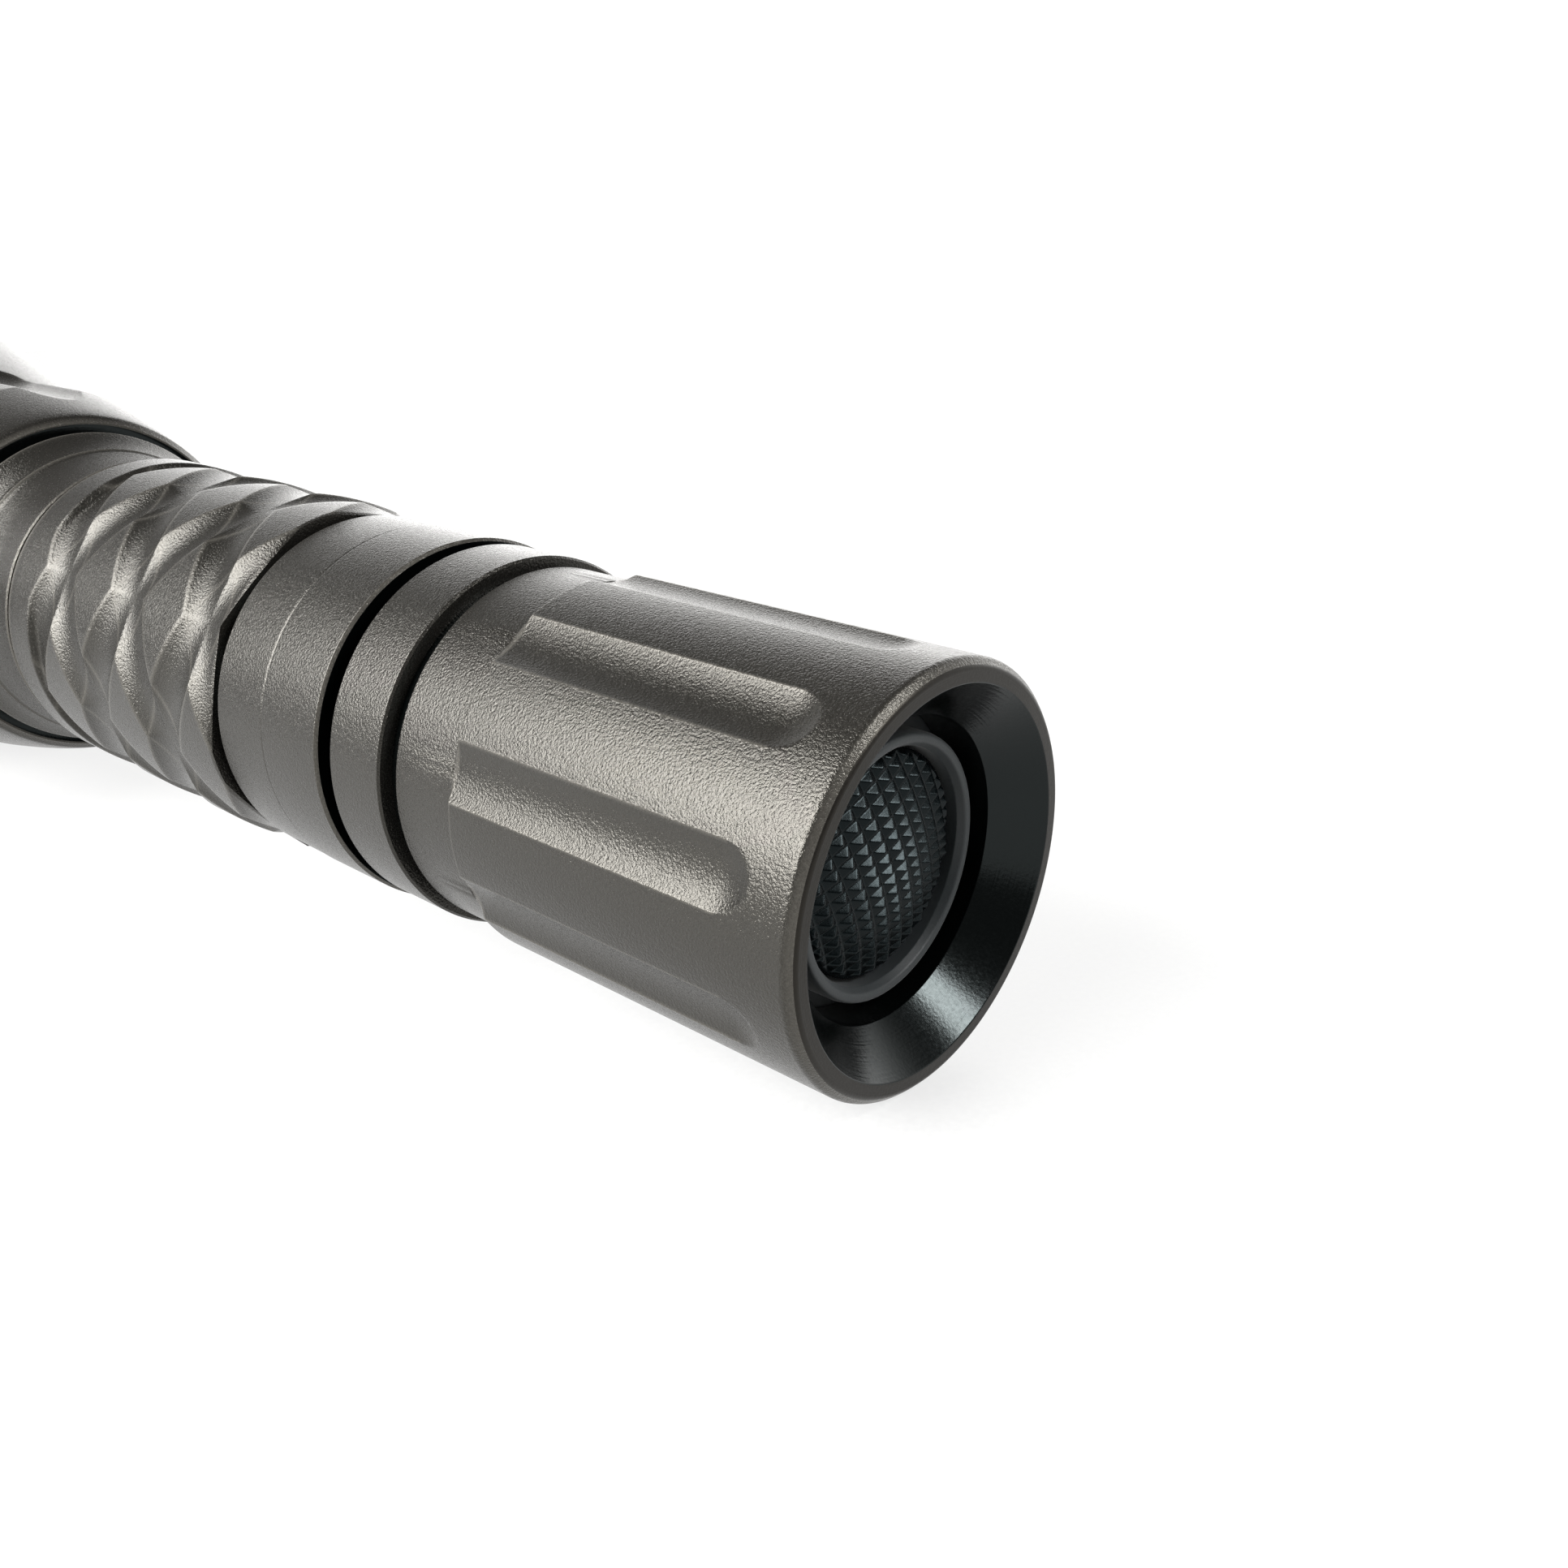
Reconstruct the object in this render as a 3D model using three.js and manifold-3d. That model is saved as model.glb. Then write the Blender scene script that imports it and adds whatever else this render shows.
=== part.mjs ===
// A hand torch for two lithium cells: fluted tail cap with a push button, grip barrel and a larger head.
// Millimetres, +Z up. The torch lies along X with its tail at +X; the beam leaves towards -X.
// Every station s is a distance from the tail's rim towards the lens.
// Every r is a radius about the torch's axis.

import * as THREE from "three";
import { mergeVertices } from "three/addons/utils/BufferGeometryUtils.js";
import Module from "manifold-3d";

const wasm = await Module();
wasm.setup();

// ---------------------------------------------------------------- driving sizes

const SEAT = 0.1; // gap left between faces that bear on each other
const SEGMENTS = 36; // straight sides of a full turn on the large parts
const FINE_SEGMENTS = 20; // straight sides of a full turn on the small parts

// cells
const CELL_R = 8.4;
const CELL_BODY = 33.4; // can, without its raised terminal
const CELL_TERMINAL_R = 3.2;
const CELL_TERMINAL = 1.1;

// barrel, cap and head radii, built outwards from the cells
const CELL_CLEARANCE = 0.35;
const BORE_R = CELL_R + CELL_CLEARANCE;
const TAIL_SPIGOT_WALL = 1.95;
const TAIL_SPIGOT_R = BORE_R + TAIL_SPIGOT_WALL;
const THREAD_CLEARANCE = 0.3;
const CAP_BORE_R = TAIL_SPIGOT_R + THREAD_CLEARANCE;
const CAP_WALL = 1.5;
const CAP_R = CAP_BORE_R + CAP_WALL;
const HEAD_SPIGOT_WALL = 3.15;
const HEAD_SPIGOT_R = BORE_R + HEAD_SPIGOT_WALL;
const HEAD_THREAD_R = HEAD_SPIGOT_R + THREAD_CLEARANCE;
const ENGINE_LEDGE = 1.3; // step that the heat sink seats on
const ENGINE_BORE_R = HEAD_THREAD_R + ENGINE_LEDGE;
const HEAD_WALL = 3.9;
const HEAD_R = ENGINE_BORE_R + HEAD_WALL; // neck of the head
const HEAD_FLARE = 8.0; // bezel's radius beyond the neck's
const BEZEL_R = HEAD_R + HEAD_FLARE;

// switch bore, boot and button, built inwards from the cap's bore
const SWITCH_LEDGE = 1.0;
const SWITCH_BORE_R = CAP_BORE_R - SWITCH_LEDGE;
const FLANGE_CLEARANCE = 0.3;
const FLANGE_R = SWITCH_BORE_R - FLANGE_CLEARANCE;
const FLANGE_WIDTH = 1.9;
const FLANGE = 1.2; // thickness
const BOOT_R = FLANGE_R - FLANGE_WIDTH;
const BOOT_LIP = 0.9; // width of the raised ring
const BOOT_HOLE_R = BOOT_R - BOOT_LIP;
const BOOT_TOP = 3.1; // station of the raised ring
const BUTTON_CLEARANCE = 0.25;
const BUTTON_R = BOOT_HOLE_R - BUTTON_CLEARANCE;
const BUTTON_TRAVEL = 1.8;
const BUTTON_CROWN = 2.9; // station of the dome's top
const BUTTON_DOME = 1.4; // rise of the dome
const BUTTON_SKIRT = 1.3; // straight side below the dome

// tail cap, from the rim
const RIM_WIDTH = 1.35; // rim's flat and its outer chamfer
const RIM_CHAMFER = 0.4;
const RECESS_DEPTH = 2.7;
const THROAT_GAP = 1.05; // dark ring around the boot
const THROAT_LENGTH = 3.0;
const LAND_END = 26.2;
const STEP = 0.45; // drop from the fluted land to the neck
const NECK_LENGTH = 5.7;
const RELIEF_WIDTH = 0.7;
const RELIEF_DEPTH = 0.9;
const BAND_LENGTH = 5.2;
const FLUTES = 9;
const FLUTE_TIP = 3.1; // station of each flute's rounded end
const FLUTE_DEPTH = 0.5;
const FLUTE_WIDTH = 3.75;
const FLUTE_TURN = THREE.MathUtils.degToRad(6.5); // middle of one flute, from the top towards +Y

// switch
const WASHER = 0.8;
const SWITCH_CLEARANCE = 0.2;
const SWITCH_LENGTH = 11.5;
const PUSHER_HEAD = 1.2;
const PUSHER_HEAD_R = BUTTON_R - 1.25;
const PUSHER_ROD_R = 1.8;
const PUSHER_ROD = 5.1;
const SLIDE_CLEARANCE = 0.3;
const CONTACT_DISC = 0.5;
const RETAINER = 2.5;
const RETAINER_WIDTH = 4.0;
const SPANNER_NOTCH = 2.0;
const TAIL_SPRING_LENGTH = 8.7;
const SPRING_WIRE_R = 0.4;
const TAIL_SPRING_TURNS = 4.5;

// barrel
const SPIGOT_TO_SWITCH = 2.9; // free length behind the switch retainer
const THREAD_LEAD_IN = 0.4;
const PARTING_GAP = 1.2; // dark line between the cap and the barrel
const THREAD_PITCH = 1.5;
const THREAD_TURNS = 4;
const THREAD_HEIGHT = 0.5;
const O_RING_WIRE_R = 0.6;
const GROOVE_PLAY = 0.2;
const SEAL_RISE = 0.12; // seal's height above its spigot
const REAR_RING_LENGTH = 12.0;
const GRIP_GROOVE = 0.8;
const GRIP_GROOVE_DEPTH = 0.8;
const GRIP_LIFT = 0.7; // pads above the cap's land
const GRIP_PITCH = 10.45; // pads along the barrel
const GRIP_STARTS = 4; // pads around the barrel
const GRIP_CUT_HALF = 2.15; // half the width of each helical cut
const GRIP_CUT_DEPTH = 0.55;
const GRIP_FIRST_PAD = 7.4; // middle of the first ring of pads, from the grip's tail end
const GRIP_ANGLE = THREE.MathUtils.degToRad(-57.7); // where one of those pads lies, from the top towards +Y
const GRIP_PLAIN = 3.8; // uncut band at the head end
const GRIP_STATIONS = 16;
const COLLAR_LENGTH = 10.2;
const COLLAR_CREST = 7.3; // line between the collar's two hollow bands, from its tail end
const COLLAR_DIP = 0.4; // hollow of the first band
const COLLAR_FLARE = 1.75; // collar's front edge above the cap's land
const HEAD_SPIGOT_LENGTH = 7.9;
const DRIVER_SPRING_ROOM = 3.4; // barrel's length beyond the cells

// head: chamfered mouth, tapered shoulder, straight neck, flare and bezel
const HEAD_GAP = 1.0; // dark ring between the collar's front edge and the head
const HEAD_LENGTH = 65.4;
const HEAD_MOUTH_GAP = 0.65; // step out from the collar's front edge
const HEAD_MOUTH_DEPTH = 0.8;
const HEAD_MOUTH_CHAMFER = 0.55;
const HEAD_SHOULDER = 8.3;
const HEAD_SHOULDER_POWER = 0.8; // below 1 the shoulder's rear is the steeper
const HEAD_NECK = 11.0;
const HEAD_FLUTES = 12;
const HEAD_FLUTE_DEPTH = 0.85;
const HEAD_FLUTE_WIDTH = 5.6;
const HEAD_FLUTE_RUN = 1.6; // how far the flutes run on past the start of the flare
const HEAD_FLUTE_TURN = THREE.MathUtils.degToRad(9);
const BEZEL_LENGTH = 10.2;
const BEZEL_WALL = 1.2;
const BEZEL_CLEARANCE = 0.2;
const BEZEL_LIP = 1.0;
const BEZEL_OVERLAP = 2.0; // how far the bezel's lip covers the lens
const BEZEL_CHAMFER = 0.5;
const LENS = 1.6;
const LENS_SEAL_WIRE_R = 0.4;
const BEZEL_SEAL_WIRE_R = 0.45;

// light engine
const HEAT_SINK_LENGTH = 9.5;
const SINK_GAP = 0.8; // from the barrel's front to the heat sink's seat
const DRIVER_RING = 3.9; // heat sink's rim around the driver board's edge
const DRIVER = 1.6;
const DRIVER_INSET = 0.7; // from the heat sink's rear rim to the driver board
const DRIVER_POCKET = 4.5;
const LED_BOARD_R = 8.0;
const LED_BOARD = 1.6;
const LED_SIDE = 3.45;
const LED_BASE = 0.7;
const LED_DOME_R = 1.25;
const GASKET_HOLE_R = 2.7;
const GASKET_R = 5.2;
const GASKET = 1.4;
const REFLECTOR_HOLE_R = 2.9;
const REFLECTOR_WALL = 0.8;
const REFLECTOR_FLANGE = 0.7;
const REFLECTOR_LEDGE = 1.2; // step from the heat sink's bore to the reflector's
const DRIVER_SPRING_TURNS = 3.5;

// ---------------------------------------------------------------- stations worked out from the sizes

const THROAT_R = BOOT_R + THROAT_GAP;
const SWITCH_R = SWITCH_BORE_R - SWITCH_CLEARANCE;
const RETAINER_HOLE_R = SWITCH_BORE_R - RETAINER_WIDTH;
const CONTACT_DISC_R = RETAINER_HOLE_R - 0.6;
const SHOULDER = RECESS_DEPTH + THROAT_LENGTH; // where the boot's flange seats
const FLANGE_FRONT = SHOULDER + SEAT + FLANGE;
const WASHER_FRONT = FLANGE_FRONT + SEAT + WASHER;
const SWITCH_REAR = WASHER_FRONT + SEAT;
const SWITCH_FRONT = SWITCH_REAR + SWITCH_LENGTH;
const RETAINER_FRONT = SWITCH_FRONT + SEAT + RETAINER;
const SPRING_REAR = SWITCH_FRONT + 2 * SEAT + CONTACT_DISC;
const SPRING_FRONT = SPRING_REAR + TAIL_SPRING_LENGTH;
const SPIGOT_REAR = RETAINER_FRONT + SPIGOT_TO_SWITCH;

const NECK_END = LAND_END + NECK_LENGTH;
const BAND_START = NECK_END + RELIEF_WIDTH;
const THREAD_FRONT = SPIGOT_REAR + THREAD_LEAD_IN + THREAD_PITCH * THREAD_TURNS;
const CAP_END = Math.max(BAND_START + BAND_LENGTH, THREAD_FRONT + 7 * O_RING_WIRE_R);
const BARREL_SHOULDER = CAP_END + PARTING_GAP;
const TAIL_SEAL_S = CAP_END - 4 * O_RING_WIRE_R;

const REAR_CELL = SPRING_FRONT + SEAT;
const FRONT_CELL = REAR_CELL + CELL_BODY + CELL_TERMINAL + SEAT;
const CELLS_END = FRONT_CELL + CELL_BODY + CELL_TERMINAL;

const BARREL_FRONT = CELLS_END + DRIVER_SPRING_ROOM;
const COLLAR_FRONT = BARREL_FRONT - HEAD_SPIGOT_LENGTH;
const COLLAR_REAR = COLLAR_FRONT - COLLAR_LENGTH;
const GRIP_FRONT = COLLAR_REAR - GRIP_GROOVE;
const GRIP_REAR = BARREL_SHOULDER + REAR_RING_LENGTH + GRIP_GROOVE;
const HEAD_SEAL_S = COLLAR_FRONT + 4 * O_RING_WIRE_R;

const COLLAR_R = CAP_R + COLLAR_FLARE;
const HEAD_REAR = COLLAR_FRONT + HEAD_GAP;
const SHOULDER_REAR = HEAD_REAR + HEAD_MOUTH_CHAMFER;
const HEAD_NECK_REAR = SHOULDER_REAR + HEAD_SHOULDER;
const FLARE_REAR = HEAD_NECK_REAR + HEAD_NECK;
const LENGTH = HEAD_REAR + HEAD_LENGTH;
const BEZEL_REAR = LENGTH - BEZEL_LENGTH;
const BEZEL_STEP = BEZEL_REAR - 3 * SEAT;
const BEZEL_BORE_R = BEZEL_R - BEZEL_WALL;
const FRONT_SPIGOT_R = BEZEL_BORE_R - BEZEL_CLEARANCE;
const BEZEL_OPENING_R = BEZEL_BORE_R - BEZEL_OVERLAP;
const LIP_REAR = LENGTH - BEZEL_LIP;
const LENS_FRONT = LIP_REAR - 2 * SEAT - 2 * LENS_SEAL_WIRE_R;
const LENS_REAR = LENS_FRONT - LENS;
const FLANGE_REAR = LENS_REAR - SEAT - REFLECTOR_FLANGE;
const SHELL_FRONT = FLANGE_REAR - SEAT;
const BEZEL_SEAL_S = BEZEL_REAR + 4 * BEZEL_SEAL_WIRE_R;

const REFLECTOR_BORE_R = ENGINE_BORE_R + REFLECTOR_LEDGE; // in the neck
const FRONT_BORE_R = REFLECTOR_BORE_R + HEAD_FLARE;
const SINK_SEAT = BARREL_FRONT + SINK_GAP;
const SINK_REAR = SINK_SEAT + 2 * SEAT;
const SINK_FRONT = SINK_REAR + HEAT_SINK_LENGTH;
const DRIVER_R = ENGINE_BORE_R - DRIVER_RING;
const DRIVER_REAR = SINK_REAR + DRIVER_INSET;
const LED_BOARD_FRONT = SINK_FRONT + SEAT + LED_BOARD;
const LED_REAR = LED_BOARD_FRONT + SEAT;
const REFLECTOR_REAR = LED_REAR + GASKET + SEAT;

const TAIL_X = LENGTH / 2;
const AXIS_Z = BEZEL_R;

// ---------------------------------------------------------------- solids

// The twice-signed area of a closed outline of [s, r] points.
function turnOf(outline) {
  let sum = 0;
  outline.forEach(([s, r], i) => {
    const [s2, r2] = outline[(i + 1) % outline.length];
    sum += s * r2 - s2 * r;
  });
  return sum;
}

// A solid of revolution from a closed outline of [s, r] points, along -X from the tail's rim.
function turned(outline, segments = SEGMENTS) {
  const ordered = turnOf(outline) < 0 ? [...outline].reverse() : outline;
  const points = [...ordered, ordered[0]].map(([s, r]) => new THREE.Vector2(r, -s));
  const geometry = new THREE.LatheGeometry(points, segments);
  geometry.rotateZ(-Math.PI / 2);
  return geometry;
}

// A plain cylinder or tube between two stations.
function tube(rear, front, innerR, outerR, segments = SEGMENTS) {
  return turned([[rear, innerR], [rear, outerR], [front, outerR], [front, innerR]], segments);
}

// A ring of round section, such as a seal.
function roundRing(s, middleR, wireR, sides = 6) {
  const outline = [];
  for (let i = 0; i < sides; i++) {
    const a = (2 * Math.PI * (i + 0.5)) / sides;
    outline.push([s + wireR * Math.cos(a), middleR + wireR * Math.sin(a)]);
  }
  return turned(outline);
}

function solidOf(geometry) {
  const bare = new THREE.BufferGeometry();
  bare.setAttribute("position", geometry.attributes.position.clone());
  if (geometry.index) bare.setIndex(geometry.index.clone());
  const merged = mergeVertices(bare, 1e-3);
  return new wasm.Manifold(
    new wasm.Mesh({
      numProp: 3,
      vertProperties: new Float32Array(merged.attributes.position.array),
      triVerts: new Uint32Array(merged.index.array),
    }),
  );
}

function geometryOf(solid) {
  const { numProp, numVert, vertProperties, triVerts } = solid.getMesh();
  const positions = new Float32Array(numVert * 3);
  for (let i = 0; i < numVert; i++) {
    positions.set(vertProperties.subarray(i * numProp, i * numProp + 3), i * 3);
  }
  const geometry = new THREE.BufferGeometry();
  geometry.setAttribute("position", new THREE.BufferAttribute(positions, 3));
  geometry.setIndex(new THREE.BufferAttribute(new Uint32Array(triVerts), 1));
  return geometry;
}

// A body less its cutters.
function cut(body, cutters) {
  return geometryOf(cutters.reduce((solid, cutter) => solid.subtract(solidOf(cutter)), solidOf(body)));
}

// The radius of a round-nosed cutter that leaves a flute of this width and depth in a body of radius outerR.
function cutterRadius(outerR, width, depth) {
  const half = width / 2;
  const belowChord = depth - outerR + Math.sqrt(outerR * outerR - half * half);
  return (half * half + belowChord * belowChord) / (2 * belowChord);
}

// Round-nosed cutters around a body of radius outerR; each leaves one straight flute with rounded ends.
// turn is where the first flute's middle lies, from the top towards +Y.
function fluteCutters({ count, outerR, width, depth, tip, end, roundEnd, turn }) {
  const radius = cutterRadius(outerR, width, depth);
  const reach = Math.sqrt(radius * radius - (radius - depth) ** 2);
  const rear = tip + reach;
  const front = roundEnd ? end - reach : end;
  const noseSteps = 3;
  const outline = [[rear - radius, 0]];
  for (let i = 1; i <= noseSteps; i++) {
    const a = (Math.PI / 2) * (i / noseSteps);
    outline.push([rear - radius * Math.cos(a), radius * Math.sin(a)]);
  }
  if (roundEnd) {
    for (let i = 0; i < noseSteps; i++) {
      const a = (Math.PI / 2) * (1 - i / noseSteps);
      outline.push([front + radius * Math.cos(a), radius * Math.sin(a)]);
    }
    outline.push([front + radius, 0]);
  } else {
    outline.push([front, radius], [front, 0]);
  }
  const cutters = [];
  for (let i = 0; i < count; i++) {
    const cutter = turned(outline, 16);
    cutter.translate(0, 0, outerR - depth + radius);
    cutter.rotateX((2 * Math.PI * i) / count - turn);
    cutters.push(cutter);
  }
  return cutters;
}

// Thread drawn as separate ridges on an outside radius; returned as outline points from rear to front.
function ridges(start, r, count) {
  const points = [];
  for (let i = 0; i < count; i++) {
    const s = start + i * THREAD_PITCH;
    points.push([s, r - THREAD_HEIGHT]);
    points.push([s + THREAD_PITCH * 0.45, r]);
    points.push([s + THREAD_PITCH * 0.9, r - THREAD_HEIGHT]);
  }
  return points;
}

// A round seal in its groove on a spigot of radius r.
function seal(s, r, wireR) {
  return roundRing(s, r + SEAL_RISE - wireR, wireR);
}

// The rectangular groove for such a seal, as outline points from rear to front.
function sealGroove(s, r, wireR) {
  const half = wireR + GROOVE_PLAY;
  const floor = r + SEAL_RISE - 2 * wireR - SEAT / 2;
  return [[s - half, r], [s - half, floor], [s + half, floor], [s + half, r]];
}

// A coil spring between two stations, from one radius to another.
function coilSpring(rear, front, rearR, frontR, turns) {
  class Coil extends THREE.Curve {
    getPoint(t, target = new THREE.Vector3()) {
      const angle = 2 * Math.PI * turns * t;
      const r = rearR + (frontR - rearR) * t;
      const s = rear + SPRING_WIRE_R + (front - rear - 2 * SPRING_WIRE_R) * t;
      return target.set(-s, r * Math.cos(angle), r * Math.sin(angle));
    }
  }
  const section = new THREE.Shape();
  section.absarc(0, 0, SPRING_WIRE_R * 0.95, 0, 2 * Math.PI);
  return new THREE.ExtrudeGeometry(section, {
    steps: Math.round(turns * 12),
    curveSegments: 3,
    bevelEnabled: false,
    extrudePath: new Coil(),
  });
}

// ---------------------------------------------------------------- tail cap group

function tailCap() {
  const mouthR = CAP_R - RIM_WIDTH;
  const neckR = CAP_R - STEP;
  const bandR = CAP_R + 0.1;
  const body = turned([
    [0, mouthR],
    [0, CAP_R - RIM_CHAMFER],
    [RIM_CHAMFER, CAP_R],
    [LAND_END - STEP, CAP_R],
    [LAND_END, neckR],
    [NECK_END - 0.3, neckR],
    [NECK_END, neckR - 0.3],
    [NECK_END, CAP_R - RELIEF_DEPTH],
    [BAND_START, CAP_R - RELIEF_DEPTH],
    [BAND_START, bandR - 0.2],
    [BAND_START + 0.2, bandR],
    [CAP_END - 0.2, bandR],
    [CAP_END, bandR - 0.2],
    [CAP_END, CAP_BORE_R],
    [RETAINER_FRONT + SEAT, CAP_BORE_R],
    [RETAINER_FRONT + SEAT, SWITCH_BORE_R],
    [SHOULDER, SWITCH_BORE_R],
    [SHOULDER, THROAT_R],
    [RECESS_DEPTH, THROAT_R],
  ]);
  const cutters = fluteCutters({
    count: FLUTES,
    outerR: CAP_R,
    width: FLUTE_WIDTH,
    depth: FLUTE_DEPTH,
    tip: FLUTE_TIP,
    end: LAND_END + 0.5,
    roundEnd: false,
    turn: FLUTE_TURN,
  });
  return cut(body, cutters);
}

function switchBoot() {
  return turned([
    [BOOT_TOP + 0.45, BOOT_HOLE_R],
    [BOOT_TOP + 0.12, BOOT_HOLE_R + 0.2],
    [BOOT_TOP, BOOT_HOLE_R + 0.5],
    [BOOT_TOP + 0.12, BOOT_R - 0.12],
    [BOOT_TOP + 0.5, BOOT_R],
    [SHOULDER + SEAT, BOOT_R],
    [SHOULDER + SEAT, FLANGE_R],
    [FLANGE_FRONT, FLANGE_R],
    [FLANGE_FRONT, BOOT_HOLE_R],
  ]);
}

function buttonPad() {
  const steps = 5;
  const domeR = (BUTTON_R * BUTTON_R + BUTTON_DOME * BUTTON_DOME) / (2 * BUTTON_DOME);
  const outline = [];
  for (let i = 0; i <= steps; i++) {
    const r = (BUTTON_R * i) / steps;
    outline.push([BUTTON_CROWN + domeR - Math.sqrt(domeR * domeR - r * r), r]);
  }
  const back = BUTTON_CROWN + BUTTON_DOME + BUTTON_SKIRT;
  outline.push([back, BUTTON_R], [back, 0]);
  return turned(outline);
}

function pusher() {
  const rear = BUTTON_CROWN + BUTTON_DOME + BUTTON_SKIRT + SEAT;
  const front = rear + PUSHER_HEAD;
  return turned([
    [rear, 0],
    [rear, PUSHER_HEAD_R],
    [front, PUSHER_HEAD_R],
    [front, PUSHER_ROD_R],
    [front + PUSHER_ROD, PUSHER_ROD_R],
    [front + PUSHER_ROD, 0],
  ], FINE_SEGMENTS);
}

function switchBody() {
  const pusherHeadFront = BUTTON_CROWN + BUTTON_DOME + BUTTON_SKIRT + SEAT + PUSHER_HEAD;
  const pocketFloor = Math.max(pusherHeadFront + BUTTON_TRAVEL + SLIDE_CLEARANCE, SWITCH_REAR + 1);
  const boreEnd = pusherHeadFront + PUSHER_ROD + BUTTON_TRAVEL + SLIDE_CLEARANCE;
  const pocketR = PUSHER_HEAD_R + SLIDE_CLEARANCE;
  const boreR = PUSHER_ROD_R + SLIDE_CLEARANCE;
  return turned([
    [SWITCH_REAR, pocketR],
    [SWITCH_REAR, SWITCH_R],
    [SWITCH_FRONT, SWITCH_R],
    [SWITCH_FRONT, 0],
    [boreEnd, 0],
    [boreEnd, boreR],
    [pocketFloor, boreR],
    [pocketFloor, pocketR],
  ]);
}

function switchRetainer() {
  const rear = SWITCH_FRONT + SEAT;
  const body = tube(rear, RETAINER_FRONT, RETAINER_HOLE_R, SWITCH_BORE_R - 0.15);
  const notch = new THREE.BoxGeometry(1.2, SPANNER_NOTCH, 2.4 * SWITCH_BORE_R);
  notch.translate(-RETAINER_FRONT, 0, 0);
  return cut(body, [notch]);
}

function tailSpring() {
  const rearR = CONTACT_DISC_R - 0.8;
  const frontR = CELL_TERMINAL_R - 0.2;
  return coilSpring(SPRING_REAR, SPRING_FRONT, rearR, frontR, TAIL_SPRING_TURNS);
}

// ---------------------------------------------------------------- barrel group

// How far the crossing helical cuts lie below the pads at station s and angle a.
function gripCut(s, a) {
  if (s > GRIP_FRONT - GRIP_PLAIN) return 0;
  const along = (s - GRIP_REAR - GRIP_FIRST_PAD) / GRIP_PITCH;
  const around = ((a - GRIP_ANGLE) * GRIP_STARTS) / (2 * Math.PI);
  const arc = (2 * Math.PI * (CAP_R + GRIP_LIFT)) / GRIP_STARTS;
  const spacing = (GRIP_PITCH * arc) / Math.hypot(GRIP_PITCH, arc);
  return [along + around, along - around].reduce((deepest, phase) => {
    const off = Math.abs(phase - Math.floor(phase) - 0.5) * spacing;
    return Math.max(deepest, GRIP_CUT_DEPTH * (1 - (off / GRIP_CUT_HALF) ** 2));
  }, 0);
}

function barrel() {
  const ringR = CAP_R + 0.3;
  const gripR = CAP_R + GRIP_LIFT;
  const collarR = CAP_R + GRIP_LIFT - 0.3;
  const grooveR = CAP_R - GRIP_GROOVE_DEPTH + 0.3;
  const grip = [];
  for (let i = 0; i <= GRIP_STATIONS; i++) {
    grip.push([THREE.MathUtils.lerp(GRIP_REAR, GRIP_FRONT, i / GRIP_STATIONS), gripR]);
  }
  const headThread = HEAD_SEAL_S + O_RING_WIRE_R + 1.0;
  const geometry = turned([
    [SPIGOT_REAR, BORE_R],
    [SPIGOT_REAR, TAIL_SPIGOT_R - THREAD_HEIGHT],
    ...ridges(SPIGOT_REAR + THREAD_LEAD_IN, TAIL_SPIGOT_R, THREAD_TURNS),
    [TAIL_SEAL_S - 1.6, TAIL_SPIGOT_R - THREAD_HEIGHT],
    [TAIL_SEAL_S - 1.3, TAIL_SPIGOT_R],
    ...sealGroove(TAIL_SEAL_S, TAIL_SPIGOT_R, O_RING_WIRE_R),
    [BARREL_SHOULDER, TAIL_SPIGOT_R],
    [BARREL_SHOULDER, ringR - 0.3],
    [BARREL_SHOULDER + 0.3, ringR],
    [BARREL_SHOULDER + REAR_RING_LENGTH * 0.53, ringR],
    [BARREL_SHOULDER + REAR_RING_LENGTH, ringR - 0.1],
    [BARREL_SHOULDER + REAR_RING_LENGTH, grooveR],
    [GRIP_REAR, grooveR],
    ...grip,
    [GRIP_FRONT, grooveR],
    [COLLAR_REAR, grooveR],
    [COLLAR_REAR, collarR],
    [COLLAR_REAR + COLLAR_CREST / 2, collarR - COLLAR_DIP],
    [COLLAR_REAR + COLLAR_CREST, collarR + 0.15],
    [COLLAR_REAR + (COLLAR_CREST + COLLAR_LENGTH) / 2, collarR + 0.3 * (COLLAR_R - collarR)],
    [COLLAR_FRONT, COLLAR_R],
    [COLLAR_FRONT, HEAD_SPIGOT_R],
    ...sealGroove(HEAD_SEAL_S, HEAD_SPIGOT_R, O_RING_WIRE_R),
    ...ridges(headThread, HEAD_SPIGOT_R, 2),
    [BARREL_FRONT, HEAD_SPIGOT_R - THREAD_HEIGHT],
    [BARREL_FRONT, BORE_R],
  ]);
  // Move each vertex of the grip in by the depth of the cuts there.
  const at = geometry.attributes.position;
  for (let i = 0; i < at.count; i++) {
    const s = -at.getX(i);
    const r = Math.hypot(at.getY(i), at.getZ(i));
    if (s < GRIP_REAR - 1e-3 || s > GRIP_FRONT + 1e-3 || r < gripR - 1e-3) continue;
    const k = (r - gripCut(s, Math.atan2(at.getY(i), at.getZ(i)))) / r;
    at.setXYZ(i, -s, at.getY(i) * k, at.getZ(i) * k);
  }
  return geometry;
}

function cell(rear) {
  const front = rear + CELL_BODY;
  return turned([
    [rear, 0],
    [rear, CELL_R - 0.5],
    [rear + 0.5, CELL_R],
    [front - 0.5, CELL_R],
    [front, CELL_R - 0.5],
    [front, CELL_TERMINAL_R],
    [front + CELL_TERMINAL, CELL_TERMINAL_R],
    [front + CELL_TERMINAL, 0],
  ], FINE_SEGMENTS);
}

// ---------------------------------------------------------------- head group

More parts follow.
